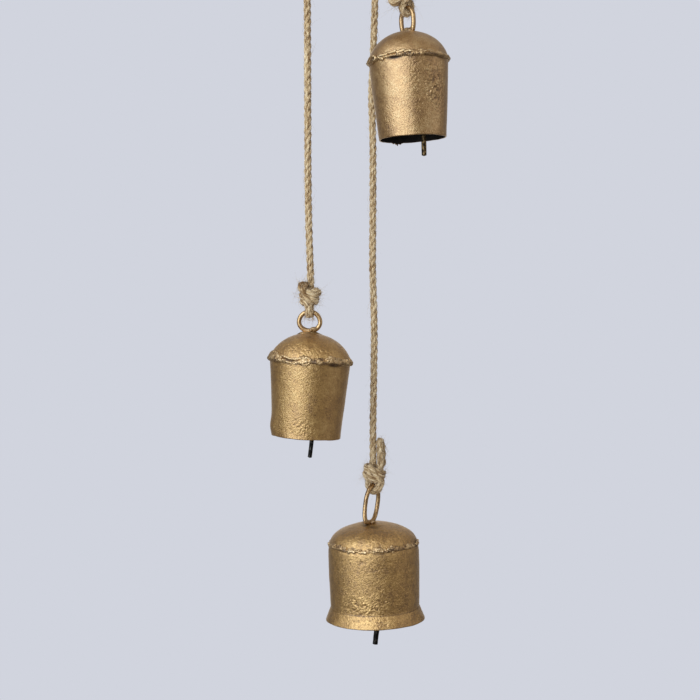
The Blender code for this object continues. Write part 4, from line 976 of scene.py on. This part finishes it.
def seam_bead(hung):
    """The bead of braze round the shoulder: a lumpy tube, with threads and drops where the metal pooled.
    Round the tube, a point is reach·cos a out and rise·sin a up, both swollen by noise and by the lumps."""
    bell, name = hung.bell, hung.name
    out_size, up_size = bell["bead"]
    radius = bell["dome"][1] + 0.1
    around = full_turn(BEAD_COLUMNS)
    x, y = radius * np.cos(around), radius * np.sin(around)
    circle = np.stack((x, y, 0 * x), axis=-1)
    seed = ord(name[0]) + 40
    height = 0.6 * noise(circle, 7.0, seed, 2)
    swell = 0.95 + 0.30 * noise(circle, 4.0, seed + 1, 3) + 0.14 * noise(circle, 1.5, seed + 2, 2)
    front = np.clip(0.5 - y / 8.0, 0.0, 1.0)
    tall = swell
    for lump_x, lump_z, half, reach in bell["bead_lumps"]:
        near = np.exp(-0.5 * ((x - lump_x) / half) ** 2) * front
        swell = swell + 0.5 * reach * near
        tall = tall + 0.6 * reach * near
        height = height + lump_z * near * 0.6
    section = full_turn(BEAD_ROWS)
    upper_side = np.clip(np.sin(section), 0.0, 1.0)[None, :]
    reach = out_size * np.cos(section)[None, :] * np.clip(swell, 0.4, 1.35)[:, None]
    reach = reach - 0.9 * up_size * upper_side
    rise = up_size * np.sin(section)[None, :] * (1.0 + 0.6 * upper_side) * np.clip(tall, 0.45, 1.8)[:, None]
    outward = outwards(around)
    rings = circle[:, None] + outward[:, None] * reach[..., None]
    rings[..., 2] += rise + height[:, None]
    rough = noise(rings, 1.5, seed + 3, 3)
    rings = rings + outward[:, None] * (0.5 * rough)[..., None]
    rings[..., 2] += 0.3 * noise(rings, 1.8, seed + 6, 2)
    # Painted shade in the bead's dips and a painted highlight on its swellings
    grime = np.clip(-1.8 * rough - 0.25, 0.0, 0.8) - 0.4 * np.clip(rough + 0.2, 0.0, 1.0)
    # Painted shade along the bead's top and bottom edges, where it meets the skin
    sides = np.abs(np.sin(section))[None, :] ** 6 * np.clip(noise(circle, 5.0, seed + 4, 2) + 0.25, 0, 1)[:, None]
    grime = np.clip(grime + 0.7 * sides, -1.0, 1.0)
    # Painted shade in the listed hollows beside the bead
    for place in bell["hollows"]:
        painted_shade = np.clip(1.4 * bump_at(rings[..., 0], rings[..., 2], place), 0.0, 1.0) * front[:, None]
        grime = grime + (0.75 * place[4] - grime) * painted_shade
    threads = []
    for thread, thick in bell["worms"]:
        flat = catmull([(px, 0.0, pz) for px, pz in thread])
        wall = radius + 0.5 * out_size
        flat[:, 1] = -np.sqrt(np.maximum(wall**2 - flat[:, 0] ** 2, 1.0))
        threads.append((flat, thick))
    rng = np.random.default_rng(seed)
    for start in np.linspace(0.0, 360.0, STRAY_THREADS, endpoint=False):
        turn = math.radians(start + rng.uniform(-4.0, 4.0)) + np.linspace(0.0, rng.uniform(0.02, 0.11), 5)
        wall = radius + rng.uniform(0.0, 0.3) * out_size
        level = rng.uniform(-0.9, 1.5) + np.cumsum(rng.uniform(-0.5, 0.5, 5))
        wavy = catmull(np.stack((wall * np.cos(turn), wall * np.sin(turn), level), axis=1))
        threads.append((wavy, rng.uniform(0.5, 0.95)))
    parts = [surface(hung.from_shoulder(rings), loop=True, grime=grime)]
    for number, (line, thick) in enumerate(threads):
        worm = tube(line, thick, step=0.3, columns=14, rounded=1.3 * thick, knobs=0.34, seed=seed + number,
                    smooth=False)
        parts.append(surface(hung.from_shoulder(worm), grime=-0.25))
    bead = piece(f"{name}_braze_bead", [BRAZE], hung.body, "braze", *parts)
    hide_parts(f"{name}_seam_bead")


def ring_points(bell, count=400):
    """The ring's middle line from its top wire: a half circle over half of |x|ⁿ + |z|ⁿ = 1, where n is 2
    for an ellipse and more for a squarer foot."""
    half_width, above, below = bell["ring"]
    a = full_turn(count)
    c, s = np.cos(a), np.sin(a)
    power = np.where(s >= 0, 1.0, 2.0 / bell["ring_form"][0])
    across = half_width * np.sign(c) * np.abs(c) ** power
    up = np.where(s >= 0, above * s, -below * np.abs(s) ** power)
    return np.stack((across, 0 * a, up - above), axis=1)


def ring_to_bell(points, hung):
    """Points of the ring's own plane in the bell's frame, its foot shifted by the square of the depth."""
    _, above, below = hung.bell["ring"]
    foot = np.clip(-(points[..., 2:] + above) / below, 0.0, 1.0) ** 2 * hung.bell["ring_form"][1]
    turned = about_z(points, hung.bell["ring_turn"])
    return about_y(turned, hung.bell["ring_tilt"]) + foot + np.array((0.0, 0.0, hung.drop))


def bell_ring(hung):
    """The wire ring that carries the bell, its braze darker in patches."""
    name = hung.name
    path, _ = evened(ring_points(hung.bell), 0.3)
    rings = tube(path, RING_WIRE_RADIUS + RING_SKIN, step=0.45, columns=24, loop=True, knobs=0.09,
                 seed=ord(name[0]), smooth=False)
    grime = np.clip(-0.9 * noise(rings, 2.0, 5, 2) - 0.25, 0.0, 0.5)
    ring = piece(f"{name}_wire_ring", [RING_METAL], hung.body, "ring_wire",
                 surface(hung.world(ring_to_bell(rings, hung)), loop=True, grime=grime))
    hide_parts(f"{name}_bell_ring")


def ring_braze(hung):
    """The lump of braze at the ring's foot: an uneven ball squashed on the dome, and the wire's own end."""
    name, bell = hung.name, hung.bell
    down = np.linspace(0.02, math.pi - 0.02, 60)
    unit = turned_rings(np.stack((np.sin(down), np.cos(down)), axis=1), full_turn(90))
    wobble = 1.0 + 0.20 * noise(unit * 4.0, 2.2, ord(name[0]), 3)
    size, shift = bell["braze"]
    lump = about_z(unit * wobble[..., None] * np.array(size), bell["ring_turn"])
    grime = np.clip(0.22 - 1.2 * noise(unit * 4.0, 1.6, 3, 3), 0.0, 0.7)
    end = tube(np.array(bell["wire_end"]) + hung.foot_on_dome, WIRE_END_RADIUS, step=0.3, columns=18, rounded=1.2,
               knobs=0.3, seed=8)
    braze = piece(f"{name}_foot_braze", [BRAZE], hung.body, "braze",
                  surface(hung.world(lump + (hung.foot_on_dome + shift)), inward=True, grime=grime),
                  surface(hung.world(end), grime=0.3))
    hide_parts(f"{name}_ring_braze")


def clapper_staple(hung):
    """The bent wire under the dome that the clapper hangs from."""
    bell, name = hung.bell, hung.name
    wide, tall, _ = dome_ellipse(bell)
    height = bell["dome"][0]
    reach = math.hypot(abs(bell["staple_x"]) + STAPLE_WIRE_RADIUS, STAPLE_HALF_WIDTH + STAPLE_WIRE_RADIUS)
    top = height - (tall - tall * math.sqrt(1 - (reach / wide) ** 2)) - SHEET - STAPLE_TOP_CLEARANCE
    low = height - SHEET - STAPLE_DEPTH
    corner = np.radians(np.linspace(180.0, 270.0, 8))
    half = [(0.0, -STAPLE_HALF_WIDTH, top)]
    half += [(0.0, STAPLE_CORNER_RADIUS * math.cos(a) - STAPLE_HALF_WIDTH + STAPLE_CORNER_RADIUS,
              low + STAPLE_CORNER_RADIUS + STAPLE_CORNER_RADIUS * math.sin(a)) for a in corner]
    path = np.array(half + [(px, -py, pz) for px, py, pz in reversed(half)]) + (bell["staple_x"], 0.0, 0.0)
    rings = tube(path, STAPLE_WIRE_RADIUS, knobs=0.06, seed=3, smooth=False, columns=16)
    staple = piece(f"{name}_bent_staple", [BLACK_IRON], hung.body, "black_iron", surface(hung.from_shoulder(rings)))
    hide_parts(f"{name}_clapper_staple")


def clapper(hung):
    """The rod that swings inside: a wire eye on the staple, then the rod down to its cut end."""
    bell, name = hung.bell, hung.name
    place = joint_place(f"{name}_clapper_swing")
    bend = STAPLE_WIRE_RADIUS + RING_CLEARANCE + CLAPPER_EYE_WIRE_RADIUS
    a = full_turn(40)
    eye = np.stack((bend * np.cos(a), 0 * a, bend * np.sin(a)), axis=1)
    eye = tube(eye, CLAPPER_EYE_WIRE_RADIUS, loop=True, smooth=False, columns=18, knobs=0.05) + place
    path = np.array([(x, 0.0, z) for x, z in bell["clapper_path"]])
    path[0, 2] = -bend
    rings = tube(path + place, bell["clapper_radius"], step=0.5, columns=22, rounded=0.5,
                 knobs=CLAPPER_KNOBS[name], seed=ord(name[0]))
    look = BRONZED_IRON if name == "upper" else BLACK_IRON
    made = piece(f"{name}_iron_clapper", [look], f"{name}_clapper", "black_iron", surface(rings),
                 surface(eye, loop=True))
    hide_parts(f"{name}_clapper")


def studio():
    """Soft lamps and an even room, with a world that is brighter behind and above for what the metal mirrors,
    and a pale backdrop for the camera."""
    world = bpy.data.worlds.new("studio")
    world.use_nodes = True
    tree = world.node_tree
    tree.nodes.clear()
    rays = add(tree, "LightPath").outputs
    parts = add(tree, "SeparateXYZ", {"Vector": add(tree, "TexCoord").outputs["Generated"]}).outputs
    behind = add(tree, "MapRange", {"Value": parts["Y"], "From Min": 0.84, "To Min": 0.26, "To Max": 0.90},
                 interpolation_type="SMOOTHSTEP")
    above = add(tree, "MapRange", {"Value": parts["Z"], "From Min": -0.1, "To Max": 0.31},
                interpolation_type="SMOOTHSTEP")
    level = add(tree, "Math", {0: behind, 1: above}, operation="ADD")
    shine = add(tree, "Background", {"Color": linear(MIRRORED), "Strength": level})
    ambient = add(tree, "Background", {"Color": linear(ROOM), "Strength": ROOM_LEVEL})
    seen = add(tree, "Background", {"Color": linear(BACKDROP), "Strength": 1.0})
    lit = add(tree, "MixShader", {0: rays["Is Glossy Ray"], 1: ambient, 2: shine})
    lit = add(tree, "MixShader", {0: rays["Is Camera Ray"], 1: lit, 2: seen})
    add(tree, "OutputWorld", {"Surface": lit})
    bpy.context.scene.world = world
    for name, place, target, size, power, tint in LAMPS:
        data = bpy.data.lights.new(name, "AREA")
        data.shape = "RECTANGLE"
        data.size, data.size_y = size
        data.energy = power
        data.color = tint
        lamp = bpy.data.objects.new(name, data)
        lamp.location = place
        aim = np.array(target) - np.array(place)
        lamp.rotation_euler = (math.atan2(np.hypot(aim[0], aim[1]), -aim[2]), 0.0,
                               math.atan2(aim[1], aim[0]) - math.pi / 2)
        bpy.context.scene.collection.objects.link(lamp)
    bpy.context.scene.view_settings.view_transform = "Standard"


def paper_floor():
    """A pale disc of matt paper, seen near the middle and clear towards its rim, and clear in the metal."""
    radii = np.linspace(0.0, FLOOR_RADIUS, FLOOR_ROWS)
    disc = turned_rings(np.stack((radii, np.full(FLOOR_ROWS, FLOOR_HEIGHT)), axis=1), full_turn(FLOOR_COLUMNS))
    mesh = bpy.data.meshes.new("floor")
    mesh.from_pydata((disc.reshape(-1, 3) * MM).tolist(), [], grid_faces(FLOOR_ROWS, FLOOR_COLUMNS)[:, ::-1].tolist())
    floor = bpy.data.objects.new("floor", mesh)
    bpy.context.scene.collection.objects.link(floor)
    look, tree, place = new_material("matt_paper_floor")
    flat = add(tree, "VectorMath", {0: place, 1: (1.0, 1.0, 0.0)}, operation="MULTIPLY")
    away = add(tree, "VectorMath", {0: flat}, operation="LENGTH")
    fade = add(tree, "MapRange", {"Value": away, "From Min": 0.35, "From Max": 0.95},
               interpolation_type="SMOOTHSTEP")
    mirrored = add(tree, "LightPath").outputs["Is Glossy Ray"]
    gone = add(tree, "Math", {0: fade, 1: mirrored}, operation="MAXIMUM")
    paper = add(tree, "BsdfDiffuse", {"Color": linear(PAPER)})
    mixed = add(tree, "MixShader", {0: gone, 1: paper, 2: add(tree, "BsdfTransparent")})
    add(tree, "OutputMaterial", {"Surface": mixed})
    mesh.materials.append(look)


camera()
for hanging in HUNG.values():
    hanging_cord(hanging)
    cord_eye(hanging)
for hanging in HUNG.values():
    cup_hook(hanging)
    bell_ring(hanging)
    ring_braze(hanging)
    bell_dome(hanging)
    bell_skirt(hanging)
    seam_bead(hanging)
    clapper_staple(hanging)
    clapper(hanging)
ceiling_block()
studio()
paper_floor()
